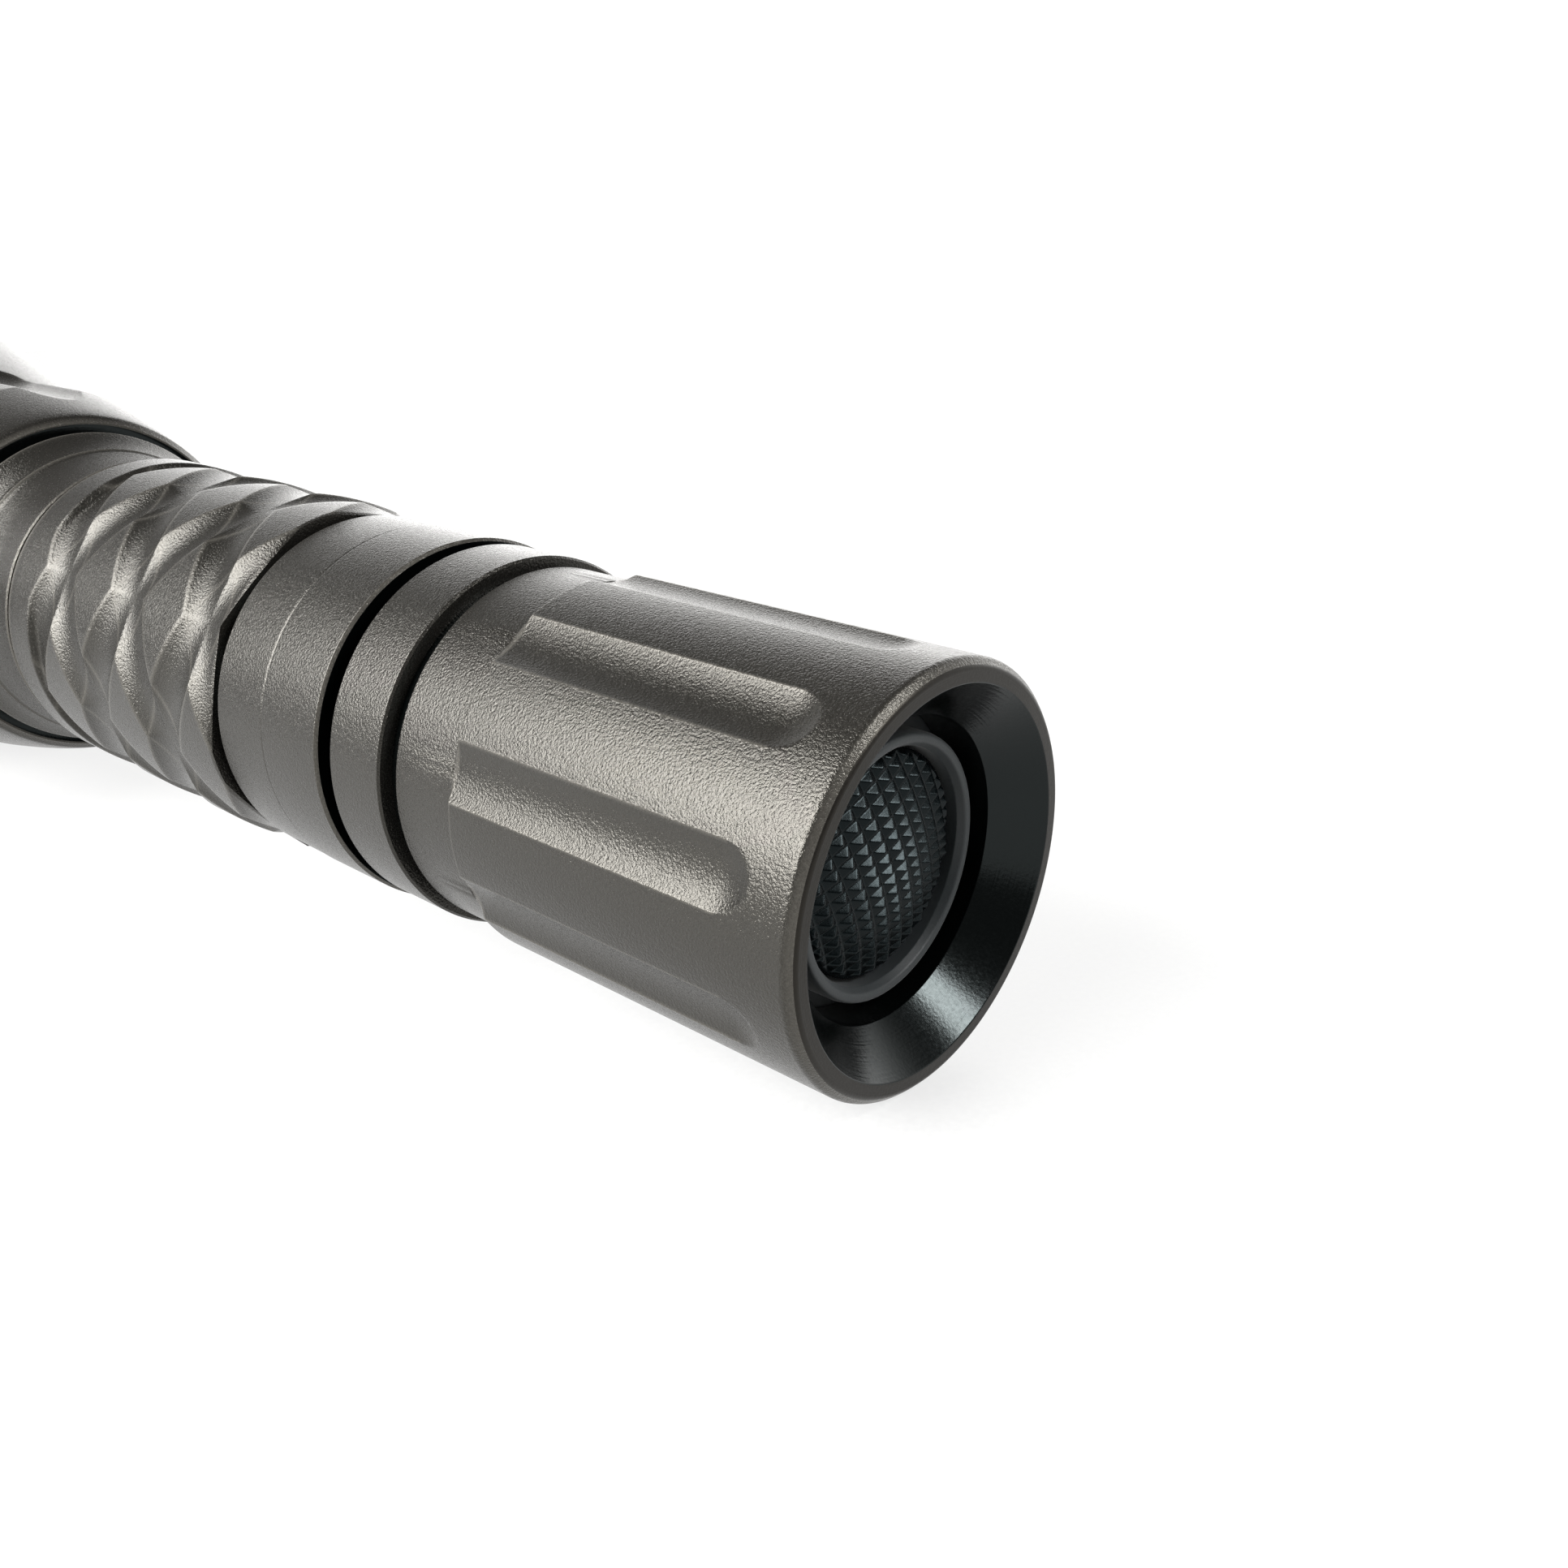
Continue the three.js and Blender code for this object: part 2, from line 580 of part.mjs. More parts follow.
function headShell() {
  const mouthR = COLLAR_R + HEAD_MOUTH_GAP;
  const shoulderR = mouthR + HEAD_MOUTH_CHAMFER;
  const shoulderSteps = 4;
  const shoulder = [];
  for (let i = 0; i <= shoulderSteps; i++) {
    const share = i / shoulderSteps;
    const rise = (HEAD_R - shoulderR) * share ** HEAD_SHOULDER_POWER;
    shoulder.push([SHOULDER_REAR + HEAD_SHOULDER * share, shoulderR + rise]);
  }
  const body = turned([
    [HEAD_REAR, mouthR],
    ...shoulder,
    [FLARE_REAR, HEAD_R],
    [BEZEL_STEP, BEZEL_R],
    [BEZEL_STEP, FRONT_SPIGOT_R],
    ...sealGroove(BEZEL_SEAL_S, FRONT_SPIGOT_R, BEZEL_SEAL_WIRE_R),
    [SHELL_FRONT, FRONT_SPIGOT_R],
    [SHELL_FRONT, FRONT_BORE_R],
    [FLARE_REAR, REFLECTOR_BORE_R],
    [SINK_FRONT, REFLECTOR_BORE_R],
    [SINK_FRONT, ENGINE_BORE_R],
    [SINK_SEAT, ENGINE_BORE_R],
    [SINK_SEAT, HEAD_THREAD_R],
    [HEAD_REAR + HEAD_MOUTH_DEPTH, HEAD_THREAD_R],
    [HEAD_REAR + HEAD_MOUTH_DEPTH, mouthR],
  ]);
  const cutters = fluteCutters({
    count: HEAD_FLUTES,
    outerR: HEAD_R,
    width: HEAD_FLUTE_WIDTH,
    depth: HEAD_FLUTE_DEPTH,
    tip: HEAD_REAR,
    end: FLARE_REAR + HEAD_FLUTE_RUN,
    roundEnd: true,
    turn: HEAD_FLUTE_TURN,
  });
  return cut(body, cutters);
}

function bezelRing() {
  return turned([
    [BEZEL_REAR, BEZEL_BORE_R],
    [BEZEL_REAR, BEZEL_R - 0.3],
    [BEZEL_REAR + 0.3, BEZEL_R],
    [LENGTH - BEZEL_CHAMFER, BEZEL_R],
    [LENGTH, BEZEL_R - BEZEL_CHAMFER],
    [LENGTH, BEZEL_OPENING_R + 0.3],
    [LENGTH - 0.3, BEZEL_OPENING_R],
    [LIP_REAR, BEZEL_OPENING_R],
    [LIP_REAR, BEZEL_BORE_R],
  ]);
}

function heatSink() {
  const outerR = ENGINE_BORE_R - 0.2;
  const pocketR = DRIVER_R + 0.3;
  return turned([
    [SINK_REAR, pocketR],
    [SINK_REAR, outerR],
    [SINK_FRONT, outerR],
    [SINK_FRONT, 0],
    [SINK_REAR + DRIVER_POCKET, 0],
    [SINK_REAR + DRIVER_POCKET, pocketR],
  ]);
}

function driverSpring() {
  return coilSpring(CELLS_END + SEAT, DRIVER_REAR - SEAT, CELL_TERMINAL_R - 0.8, 3.6, DRIVER_SPRING_TURNS);
}

function ledPackage() {
  const geometry = new THREE.BoxGeometry(LED_BASE, LED_SIDE, LED_SIDE);
  geometry.translate(-LED_REAR - LED_BASE / 2, 0, 0);
  return geometry;
}

function ledDome() {
  const rear = LED_REAR + LED_BASE + SEAT / 2;
  const outline = [[rear, 0]];
  const steps = 5;
  for (let i = 0; i <= steps; i++) {
    const a = (Math.PI / 2) * (i / steps);
    outline.push([rear + LED_DOME_R * Math.sin(a), i === steps ? 0 : LED_DOME_R * Math.cos(a)]);
  }
  return turned(outline, FINE_SEGMENTS);
}

// A parabolic cup with a flange that sits on the shell's front edge, under the lens.
function reflector() {
  const frontR = FRONT_BORE_R - 0.3;
  const frontS = LENS_REAR - SEAT;
  const steps = 8;
  const inside = [];
  for (let i = 0; i <= steps; i++) {
    const r = THREE.MathUtils.lerp(REFLECTOR_HOLE_R, frontR - REFLECTOR_WALL, i / steps);
    const share = (r * r - REFLECTOR_HOLE_R ** 2) / ((frontR - REFLECTOR_WALL) ** 2 - REFLECTOR_HOLE_R ** 2);
    inside.push([THREE.MathUtils.lerp(REFLECTOR_REAR + REFLECTOR_WALL * 0.5, frontS, share), r]);
  }
  const outside = inside.slice(2, -1).map(([s, r]) => [s, r + REFLECTOR_WALL]).reverse();
  return turned([
    [REFLECTOR_REAR, REFLECTOR_HOLE_R],
    ...inside,
    [frontS, BEZEL_BORE_R - 0.3],
    [FLANGE_REAR, BEZEL_BORE_R - 0.3],
    [FLANGE_REAR, frontR],
    ...outside,
    [REFLECTOR_REAR, REFLECTOR_HOLE_R + 2.2],
  ]);
}

// The seal squeezed between the lens and the bezel's lip.
function lensSeal() {
  return roundRing(LENS_FRONT + SEAT + LENS_SEAL_WIRE_R, BEZEL_BORE_R - 0.9, LENS_SEAL_WIRE_R);
}

// ---------------------------------------------------------------- assembly

const ANODISED = { color: 0x4e4d4a, roughness: 0.5, metalness: 0.85 };
const BARE_ALUMINIUM = { color: 0xb9bcc0, roughness: 0.35, metalness: 1.0 };
const BRASS = { color: 0xb8953f, roughness: 0.35, metalness: 1.0 };
const SPRING_STEEL = { color: 0xc9c7c0, roughness: 0.3, metalness: 1.0 };
const RUBBER = { color: 0x23282d, roughness: 0.65, metalness: 0.0 };
const SEAL_RUBBER = { color: 0x151515, roughness: 0.7, metalness: 0.0 };
const PLASTIC = { color: 0x1d1d1f, roughness: 0.5, metalness: 0.0 };
const CELL_WRAP = { color: 0x8a1f1b, roughness: 0.4, metalness: 0.0 };
const BOARD = { color: 0x1f5a35, roughness: 0.5, metalness: 0.0 };
const WHITE_BOARD = { color: 0xe8e8e2, roughness: 0.5, metalness: 0.0 };
const CERAMIC = { color: 0xd8d6cf, roughness: 0.6, metalness: 0.0 };
const SILICONE = { color: 0xe6d27a, roughness: 0.15, metalness: 0.0 };
const MIRROR = { color: 0xe6e6e6, roughness: 0.05, metalness: 1.0 };
const GLASS = { color: 0xe9f2f2, roughness: 0.05, metalness: 0.0, transparent: true, opacity: 0.35 };

const pieces = [
  ["tail_cap", tailCap(), ANODISED],
  ["switch_boot", switchBoot(), RUBBER],
  ["button_pad", buttonPad(), RUBBER],
  ["button_pusher", pusher(), PLASTIC],
  ["boot_washer", tube(FLANGE_FRONT + SEAT, WASHER_FRONT, BOOT_HOLE_R, SWITCH_R), SPRING_STEEL],
  ["switch_body", switchBody(), PLASTIC],
  ["switch_retainer", switchRetainer(), BRASS],
  ["switch_contact", tube(SWITCH_FRONT + SEAT, SWITCH_FRONT + SEAT + CONTACT_DISC, 0, CONTACT_DISC_R), BRASS],
  ["tail_spring", tailSpring(), SPRING_STEEL],
  ["tail_seal", seal(TAIL_SEAL_S, TAIL_SPIGOT_R, O_RING_WIRE_R), SEAL_RUBBER],
  ["barrel", barrel(), ANODISED],
  ["rear_cell", cell(REAR_CELL), CELL_WRAP],
  ["front_cell", cell(FRONT_CELL), CELL_WRAP],
  ["head_seal", seal(HEAD_SEAL_S, HEAD_SPIGOT_R, O_RING_WIRE_R), SEAL_RUBBER],
  ["head_shell", headShell(), ANODISED],
  ["driver_spring", driverSpring(), SPRING_STEEL],
  ["driver_board", tube(DRIVER_REAR, DRIVER_REAR + DRIVER, 0, DRIVER_R), BOARD],
  ["heat_sink", heatSink(), BARE_ALUMINIUM],
  ["led_board", tube(SINK_FRONT + SEAT, LED_BOARD_FRONT, 0, LED_BOARD_R), WHITE_BOARD],
  ["led_package", ledPackage(), CERAMIC],
  ["led_dome", ledDome(), SILICONE],
  ["led_gasket", tube(LED_REAR, LED_REAR + GASKET, GASKET_HOLE_R, GASKET_R, FINE_SEGMENTS), PLASTIC],
  ["reflector", reflector(), MIRROR],
  ["lens", tube(LENS_REAR, LENS_FRONT, 0, BEZEL_BORE_R - 0.2), GLASS],
  ["lens_seal", lensSeal(), SEAL_RUBBER],
  ["bezel_seal", seal(BEZEL_SEAL_S, FRONT_SPIGOT_R, BEZEL_SEAL_WIRE_R), SEAL_RUBBER],
  ["bezel_ring", bezelRing(), ANODISED],
];

const torch = new THREE.Group();
torch.position.set(TAIL_X, 0, AXIS_Z);
for (const [name, geometry, look] of pieces) {
  const mesh = new THREE.Mesh(geometry, new THREE.MeshStandardMaterial(look));
  mesh.name = name;
  torch.add(mesh);
}

export default torch;
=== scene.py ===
"""A hand torch built over its CAD frame.

It has a fluted tail cap with a knurled button, a cross-cut grip barrel and a larger head with a light engine.

Run as a script. Lengths inside the geometry functions are millimetres; every mesh is placed in metres in
the frame of the CAD model. A station s is the distance from the tail's rim towards the lens, r is the radius
about the torch's axis and phi is the turn about that axis, from the top towards +Y.
"""

import math

import bpy
import numpy as np
from mathutils import Matrix, Vector


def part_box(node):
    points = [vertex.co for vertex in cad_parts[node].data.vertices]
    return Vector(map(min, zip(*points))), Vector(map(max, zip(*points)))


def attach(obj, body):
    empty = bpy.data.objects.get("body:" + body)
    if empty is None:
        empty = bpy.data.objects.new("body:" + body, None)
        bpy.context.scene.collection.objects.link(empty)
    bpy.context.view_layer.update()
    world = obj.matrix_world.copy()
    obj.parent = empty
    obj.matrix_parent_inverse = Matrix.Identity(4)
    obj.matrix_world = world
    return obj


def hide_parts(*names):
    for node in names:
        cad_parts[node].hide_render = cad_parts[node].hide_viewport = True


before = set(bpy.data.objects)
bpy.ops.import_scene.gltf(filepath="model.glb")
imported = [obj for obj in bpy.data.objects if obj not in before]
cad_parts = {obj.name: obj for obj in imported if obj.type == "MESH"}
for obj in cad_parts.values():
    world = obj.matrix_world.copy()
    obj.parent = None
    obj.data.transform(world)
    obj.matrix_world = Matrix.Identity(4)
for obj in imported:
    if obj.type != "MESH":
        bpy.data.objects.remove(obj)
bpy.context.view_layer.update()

bl_info = {
    "name": "Cross-Cut Hand Torch",
    "version": (1, 0, 0),
    "blender": (4, 5, 0),
    "location": "3D View > Sidebar > Torch",
    "description": "Builds a two-cell hand torch, its materials and its studio over a CAD frame",
    "category": "Add Mesh",
}

MM = 0.001
TURN = 2 * math.pi

CAP_LOW, CAP_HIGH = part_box("tail_cap")
TAIL_X = CAP_HIGH.x
AXIS_Z = (CAP_LOW.z + CAP_HIGH.z) / 2
SHARP_ANGLE = math.radians(38)


def extent(cad_node):
    """Rear station, front station and outer radius of a round CAD node, in millimetres."""
    low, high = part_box(cad_node)
    return (TAIL_X - high.x) / MM, (TAIL_X - low.x) / MM, high.y / MM


# ---------------------------------------------------------------- sizes and colours


def count_property(name, description, value, low, high):
    """A whole number that the sidebar shows."""
    return bpy.props.IntProperty(name=name, description=description, default=value, min=low, max=high)


def length_property(name, description, value):
    """A length that the sidebar shows; value is in millimetres."""
    return bpy.props.FloatProperty(name=name, description=description, default=value * MM, unit="LENGTH")


def angle_property(name, description, value):
    """An angle that the sidebar shows; value is in degrees."""
    return bpy.props.FloatProperty(
        name=name, description=description, default=math.radians(value), subtype="ANGLE"
    )


class TorchSizes(bpy.types.PropertyGroup):
    cap_flutes: count_property("Cap flutes", "Straight flutes round the tail cap", 9, 3, 18)
    cap_flute_width: length_property("Cap flute width", "Width of a tail cap flute", 3.75)
    cap_flute_depth: length_property("Cap flute depth", "Depth of a tail cap flute", 0.5)
    cap_flute_turn: angle_property("Cap flute turn", "Turn of the first flute", 6.5)
    knurl_pitch: length_property("Knurl pitch", "Spacing of the rows of pyramids", 1.17)
    knurl_step: length_property("Knurl step", "Spacing of the pyramids along a row", 0.77)
    knurl_height: length_property("Knurl height", "Height of the button's pyramids", 0.36)
    knurl_turn: angle_property("Knurl turn", "Turn of the knurl's rows", -21)
    grip_pitch: length_property("Grip pitch", "Spacing of the grip's pads along the barrel", 10.45)
    grip_starts: count_property("Grip starts", "Helical cuts of each hand round the barrel", 4, 2, 8)
    grip_depth: length_property("Grip depth", "Depth of the helical cuts", 0.62)
    head_flutes: count_property("Head flutes", "Scallops round the head", 12, 3, 24)
    head_flute_depth: length_property("Head flute depth", "Depth of a head scallop", 0.85)
    head_flute_width: length_property("Head flute width", "Width of a head scallop", 5.6)
    head_flute_turn: angle_property("Head flute turn", "Turn of the first scallop", 9)


def colour_property(name, description, value):
    """A colour that the sidebar shows; value is an sRGB hex number."""
    return bpy.props.FloatVectorProperty(
        name=name, description=description, default=linear(value)[:3], subtype="COLOR", min=0, max=1, size=3
    )


def linear(value):
    """An sRGB hex number as linear red, green, blue and a full alpha."""
    parts = np.array([value >> 16 & 255, value >> 8 & 255, value & 255]) / 255
    parts = np.where(parts <= 0.04045, parts / 12.92, ((parts + 0.055) / 1.055) ** 2.4)
    return (*(float(c) for c in parts), 1.0)


class TorchColours(bpy.types.PropertyGroup):
    anodise: colour_property("Anodise", "Hard-anodised aluminium of cap, barrel, head and bezel", 0x171614)
    anodise_worn: colour_property("Anodise edge", "The same finish along its machined edges", 0x3C3A36)
    rubber: colour_property("Rubber", "Silicone rubber of the button and its ring", 0x171D1F)
    seal: colour_property("Seal", "Nitrile rubber of the seals", 0x141414)
    wrap: colour_property("Cell sleeve", "Shrink sleeve of the cells", 0x7D1D1A)
    floor: colour_property("Floor", "Opal table top, which also glows", 0x666665)


def level_property(name, description, value):
    """A brightness that the sidebar shows."""
    return bpy.props.FloatProperty(name=name, description=description, default=value, min=0)


class TorchStage(bpy.types.PropertyGroup):
    wall_behind: level_property("Wall behind", "Brightness of the wall behind the torch", 3.5)
    wall_beside: level_property("Wall beside", "Share of the brightness beyond the torch's tail", 0.3)
    wall_ahead: level_property("Wall ahead", "Brightness of the wall behind the camera", 0.6)
    ceiling: level_property("Ceiling", "Brightness of the ceiling", 0.17)
    key_power: level_property("Key power", "Power of the large front lamp in watts", 28.0)
    glint_power: level_property("Glint power", "Power of the small lamp over the tail in watts", 2.0)
    lens: level_property("Lens", "Focal length of the camera in millimetres", 32.6)


def sizes():
    return bpy.context.scene.torch_sizes


def colours():
    return bpy.context.scene.torch_colours


# ---------------------------------------------------------------- profiles


def filleted(corners, steps=4, hold=0.05):
    """A profile through corners (s, r, fillet): each filleted corner becomes an arc tangent to both sides.

    The arc's centre lies on the corner's bisector, fillet / sin(half angle) away, and its points turn evenly
    from one tangent point to the other. A short straight is kept beside each arc, so the flats shade flat.
    """
    points = []
    count = len(corners)
    for i, (s, r, fillet) in enumerate(corners):
        here = np.array([s, r])
        back = np.array(corners[i - 1][:2]) - here
        ahead = np.array(corners[(i + 1) % count][:2]) - here
        reach = min(np.linalg.norm(back), np.linalg.norm(ahead))
        if fillet <= 0 or reach < 1e-9:
            points.append(here)
            continue
        u, v = back / np.linalg.norm(back), ahead / np.linalg.norm(ahead)
        half = math.acos(float(np.clip(u @ v, -1, 1))) / 2
        tangent = min(fillet / math.tan(half), 0.45 * reach)
        radius = tangent * math.tan(half)
        bisector = (u + v) / np.linalg.norm(u + v)
        centre = here + bisector * radius / math.sin(half)
        first, last = here + u * tangent - centre, here + v * tangent - centre
        angle = math.pi - 2 * half
        k = np.linspace(0, 1, steps + 1)[:, None]
        arc = centre + (np.sin((1 - k) * angle) * first + np.sin(k * angle) * last) / math.sin(angle)
        if tangent + hold < 0.48 * np.linalg.norm(back):
            points.append(here + u * (tangent + hold))
        points.extend(arc)
        if tangent + hold < 0.48 * np.linalg.norm(ahead):
            points.append(here + v * (tangent + hold))
    return np.array(points)


def refined(profile, start, end, step, above):
    """The profile with its sides between stations start and end, and over radius above, split into steps."""
    made = []
    for a, b in zip(profile, np.roll(profile, -1, axis=0)):
        made.append(a)
        low, high = min(a[0], b[0]), max(a[0], b[0])
        if high - low < 1e-9 or high <= start or low >= end or min(a[1], b[1]) < above:
            continue
        cuts = int(math.ceil((min(high, end) - max(low, start)) / step))
        clip = np.clip(np.linspace(max(low, start), min(high, end), cuts + 1), low + 1e-6, high - 1e-6)
        shares = (clip - a[0]) / (b[0] - a[0])
        for share in np.sort(shares[(shares > 1e-4) & (shares < 1 - 1e-4)]):
            made.append(a + (b - a) * share)
    return np.array(made)


def disc(cad_node, fillet):
    """Corners of a solid disc as large as its CAD node."""
    rear, front, outer = extent(cad_node)
    return [(rear, 0.0, 0.0), (rear, outer, fillet), (front, outer, fillet), (front, 0.0, 0.0)]


def washer(cad_node, inner, rear_fillet, front_fillet):
    """Corners of a flat ring as large as its CAD node, round a hole of radius inner."""
    rear, front, outer = extent(cad_node)
    back = [(rear, inner, rear_fillet), (rear, outer, rear_fillet)]
    return back + [(front, outer, front_fillet), (front, inner, front_fillet)]


def groove(rear, front, outer, floor, fillet=0.08):
    """Corners of a square groove cut down from radius outer to radius floor."""
    return [(rear, outer, 0.0), (rear, floor, fillet), (front, floor, fillet), (front, outer, 0.0)]


# ---------------------------------------------------------------- meshes


def place(s, r, phi):
    """Points in metres: x is the tail less s, y is r sin(phi) and z is the axis plus r cos(phi)."""
    s, r, phi = np.broadcast_arrays(s, r, phi)
    return np.stack([TAIL_X - s * MM, r * MM * np.sin(phi), AXIS_Z + r * MM * np.cos(phi)], axis=-1)


def grid_faces(rows, columns, wrap_rows):
    """Corner numbers of the quads of a grid whose columns close round the axis, in row order."""
    row = np.arange(rows if wrap_rows else rows - 1)[:, None]
    column = np.arange(columns)[None, :]
    next_row, next_column = (row + 1) % rows, (column + 1) % columns
    corners = [(row, column), (next_row, column), (next_row, next_column), (row, next_column)]
    return np.stack([r * columns + c for r, c in corners], axis=-1)


def fan(start, columns, apex, last=False):
    """Triangles from the row of points that begins at start to an apex, wound the other way on a last row."""
    column = np.arange(columns)
    here, following = start + column, start + (column + 1) % columns
    edge = [following, here] if last else [here, following]
    return np.stack([*edge, np.full(columns, apex)], -1)


def lids(rows, columns):
    """Fans that close a grid's first and last row, to two middle points that follow the grid's own."""
    number = rows * columns
    return [fan(0, columns, number), fan(number - columns, columns, number + 1, last=True)]


def outward(points, loops, totals):
    """True if the faces point outwards: the sum of the fans' signed volumes about the middle is positive."""
    starts = np.concatenate([[0], np.cumsum(totals)[:-1]])
    middle = points.mean(axis=0)
    a = points[loops[starts]] - middle
    volume = 0.0
    for k in (1, 2):
        use = totals > k + 1 if k == 2 else totals > 2
        b = points[loops[starts[use] + k]] - middle
        c = points[loops[starts[use] + k + 1]] - middle
        volume += float(np.einsum("ij,ij->i", a[use], np.cross(b, c)).sum())
    return volume > 0


def add_piece(name, points, faces, materials, chosen=None, sharp=SHARP_ANGLE, attributes=None):
    """A mesh object from points and a list of face arrays; chosen gives each face's material number."""
    points = np.asarray(points, float)
    faces = [np.asarray(f) for f in faces if len(f)]
    loops = np.concatenate([f.ravel() for f in faces])
    totals = np.concatenate([np.full(len(f), f.shape[1]) for f in faces])
    if not outward(points, loops, totals):
        loops = np.concatenate([f[:, ::-1].ravel() for f in faces])
    mesh = bpy.data.meshes.new(name)
    mesh.vertices.add(len(points))
    mesh.vertices.foreach_set("co", points.astype(np.float32).ravel())
    mesh.loops.add(len(loops))
    mesh.loops.foreach_set("vertex_index", loops.astype(np.int32))
    mesh.polygons.add(len(totals))
    starts = np.concatenate([[0], np.cumsum(totals)[:-1]])
    mesh.polygons.foreach_set("loop_start", starts.astype(np.int32))
    mesh.polygons.foreach_set("use_smooth", np.ones(len(totals), bool))
    for material in materials:
        mesh.materials.append(material)
    if chosen is not None:
        mesh.polygons.foreach_set("material_index", np.asarray(chosen, np.int32))
    for key, values in (attributes or {}).items():
        mesh.attributes.new(key, "FLOAT", "POINT").data.foreach_set("value", np.asarray(values, np.float32))
    mesh.update(calc_edges=True)
    if mesh.validate():
        raise RuntimeError(f"{name} has faulty faces")
    if sharp is not None:
        mesh.set_sharp_from_angle(angle=sharp)
    obj = bpy.data.objects.new(name, mesh)
    bpy.context.scene.collection.objects.link(obj)
    return obj


def quartered(quads, cells, start):
    """Four triangles in each chosen cell, from its sides to a middle point; those are numbered from start."""
    corners = quads[cells]
    middle = start + np.arange(len(corners))
    return np.concatenate([np.stack([corners[:, k], corners[:, (k + 1) % 4], middle], -1) for k in range(4)])


def turned(
    name,
    profile,
    materials,
    columns=96,
    relief=None,
    above=0.0,
    closed=True,
    choose=None,
    worn=None,
    split=None,
):
    """A profile (s, r) carried round the axis; relief(s, phi) is taken off the radius of rows above a radius.

    A profile that starts and ends on the axis gets one point at each pole. columns is a number of even turns
    or an array of turns. Rows inside split get a middle point in each cell, so both diagonals are edges.
    choose(s, r) gives a row's material number, and worn(s, phi) the wear that the anodised finish reads.
    """
    phi = np.linspace(0, TURN, columns, endpoint=False) if np.isscalar(columns) else np.asarray(columns)
    s, r = profile[:, 0], profile[:, 1]
    rows = np.arange(len(s)) if closed else np.arange(1, len(s) - 1)
    station, turn = s[rows][:, None] + 0 * phi, phi[None, :] + 0 * s[rows][:, None]
    radius = r[rows][:, None] + 0 * phi
    if relief is not None:
        radius = np.where(radius >= above, radius - relief(station, turn), radius)
    points = place(station, radius, turn).reshape(-1, 3)
    wear = np.zeros(station.shape) if worn is None else worn(station, turn)
    wear = np.where(radius >= above - 1, wear, 0).ravel()
    quads = grid_faces(len(rows), len(phi), closed)
    middle_s = (station + np.roll(station, -1, axis=0)) / 2
    middle_r = (radius + np.roll(radius, -1, axis=0)) / 2
    if not closed:
        middle_s, middle_r = middle_s[:-1], middle_r[:-1]
    triangles = np.zeros((0, 3), int)
    triangle_rows = np.zeros(0, int)
    keep = np.ones(quads.shape[:2], bool)
    if split is not None:
        cells = (middle_s > split[0]) & (middle_s < split[1]) & (middle_r > above - 1)
        keep = ~cells
        triangles = quartered(quads, cells, len(points))
        triangle_rows = np.tile(np.nonzero(cells)[0], 4)
        half_turn = (turn + np.roll(turn, -1, axis=1)) / 2
        half_turn[:, -1] += TURN / 2
        mid_s, mid_phi = middle_s[cells], half_turn[cells]
        flat_r = np.broadcast_to(((r[rows] + np.roll(r[rows], -1)) / 2)[:, None], station.shape)[cells]
        points = np.concatenate([points, place(mid_s, flat_r - relief(mid_s, mid_phi), mid_phi)])
        wear = np.concatenate([wear, worn(mid_s, mid_phi)])
    row_of = np.broadcast_to(np.arange(quads.shape[0])[:, None], quads.shape[:2])[keep]
    quads = quads[keep]
    fans, fan_rows = [], []
    if not closed:
        fans = lids(len(rows), len(phi))
        fan_rows = [np.full(len(phi), row) for row in (0, len(rows) - 2)]
        points = np.concatenate([points, place(s[[0, -1]], np.zeros(2), np.zeros(2))])
        wear = np.append(wear, [0, 0])
    faces = [quads, triangles, *fans]
    chosen = None
    if choose is not None:
        face_rows = [row_of, triangle_rows, *fan_rows]
        level = np.array([choose(a, b) for a, b in zip(middle_s[:, 0], middle_r.max(axis=1))])
        chosen = np.concatenate([level[f] for f, g in zip(face_rows, faces) if len(g)])
    return add_piece(name, points, faces, materials, chosen, attributes={"worn": wear})


def finish(obj, body, nodes, slot):
    """The piece rides on its body and stands for its CAD nodes, which it hides; slot is not used."""
    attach(obj, body)
    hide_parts(*nodes)
    return obj


def turned_piece(name, corners, finish_key, columns, body, cad_node, slot, closed=True):
    """A piece of one finish, turned from its corners and finished in place of its CAD node."""
    obj = turned(name, filleted(corners), [FINISHES[finish_key]], columns, closed=closed)
    return finish(obj, body, [cad_node], slot)


# ---------------------------------------------------------------- reliefs


def off_middle(phi, turn, count):
    """The turn from phi to the middle of the nearest of count flutes, the first of which is at turn."""
    pitch = TURN / count
    return (phi - turn + pitch / 2) % pitch - pitch / 2


def flute_wall(s, phi, outer, count, width, depth, turn, rear, front=None):
    """Radius of the wall that a ball-nosed cutter leaves as it runs along the axis, or infinity beside it.

    The cutter's ball has radius (e^2 + w^2/4) / 2e, where e is the depth below the chord of the flute's
    width, and its middle runs at distance D = outer - depth + ball. At a turn d off the flute's middle the
    wall lies at D cos d - sqrt(ball^2 - x^2 - D^2 sin^2 d), where x is how far the station is beyond the
    ball's last place.
    """
    e = depth - (outer - math.sqrt(outer * outer - width * width / 4))
    ball = (e * e + width * width / 4) / (2 * e)
    distance = outer - depth + ball
    reach = math.sqrt(ball * ball - (distance - outer) ** 2)
    off = off_middle(phi, turn, count)
    x = np.maximum(rear + reach - s, 0)
    if front is not None:
        x = np.maximum(x, s - (front - reach))
    inside = ball * ball - x * x - (distance * np.sin(off)) ** 2
    wall = distance * np.cos(off) - np.sqrt(np.maximum(inside, 0))
    return np.where(inside > 0, wall, np.inf)


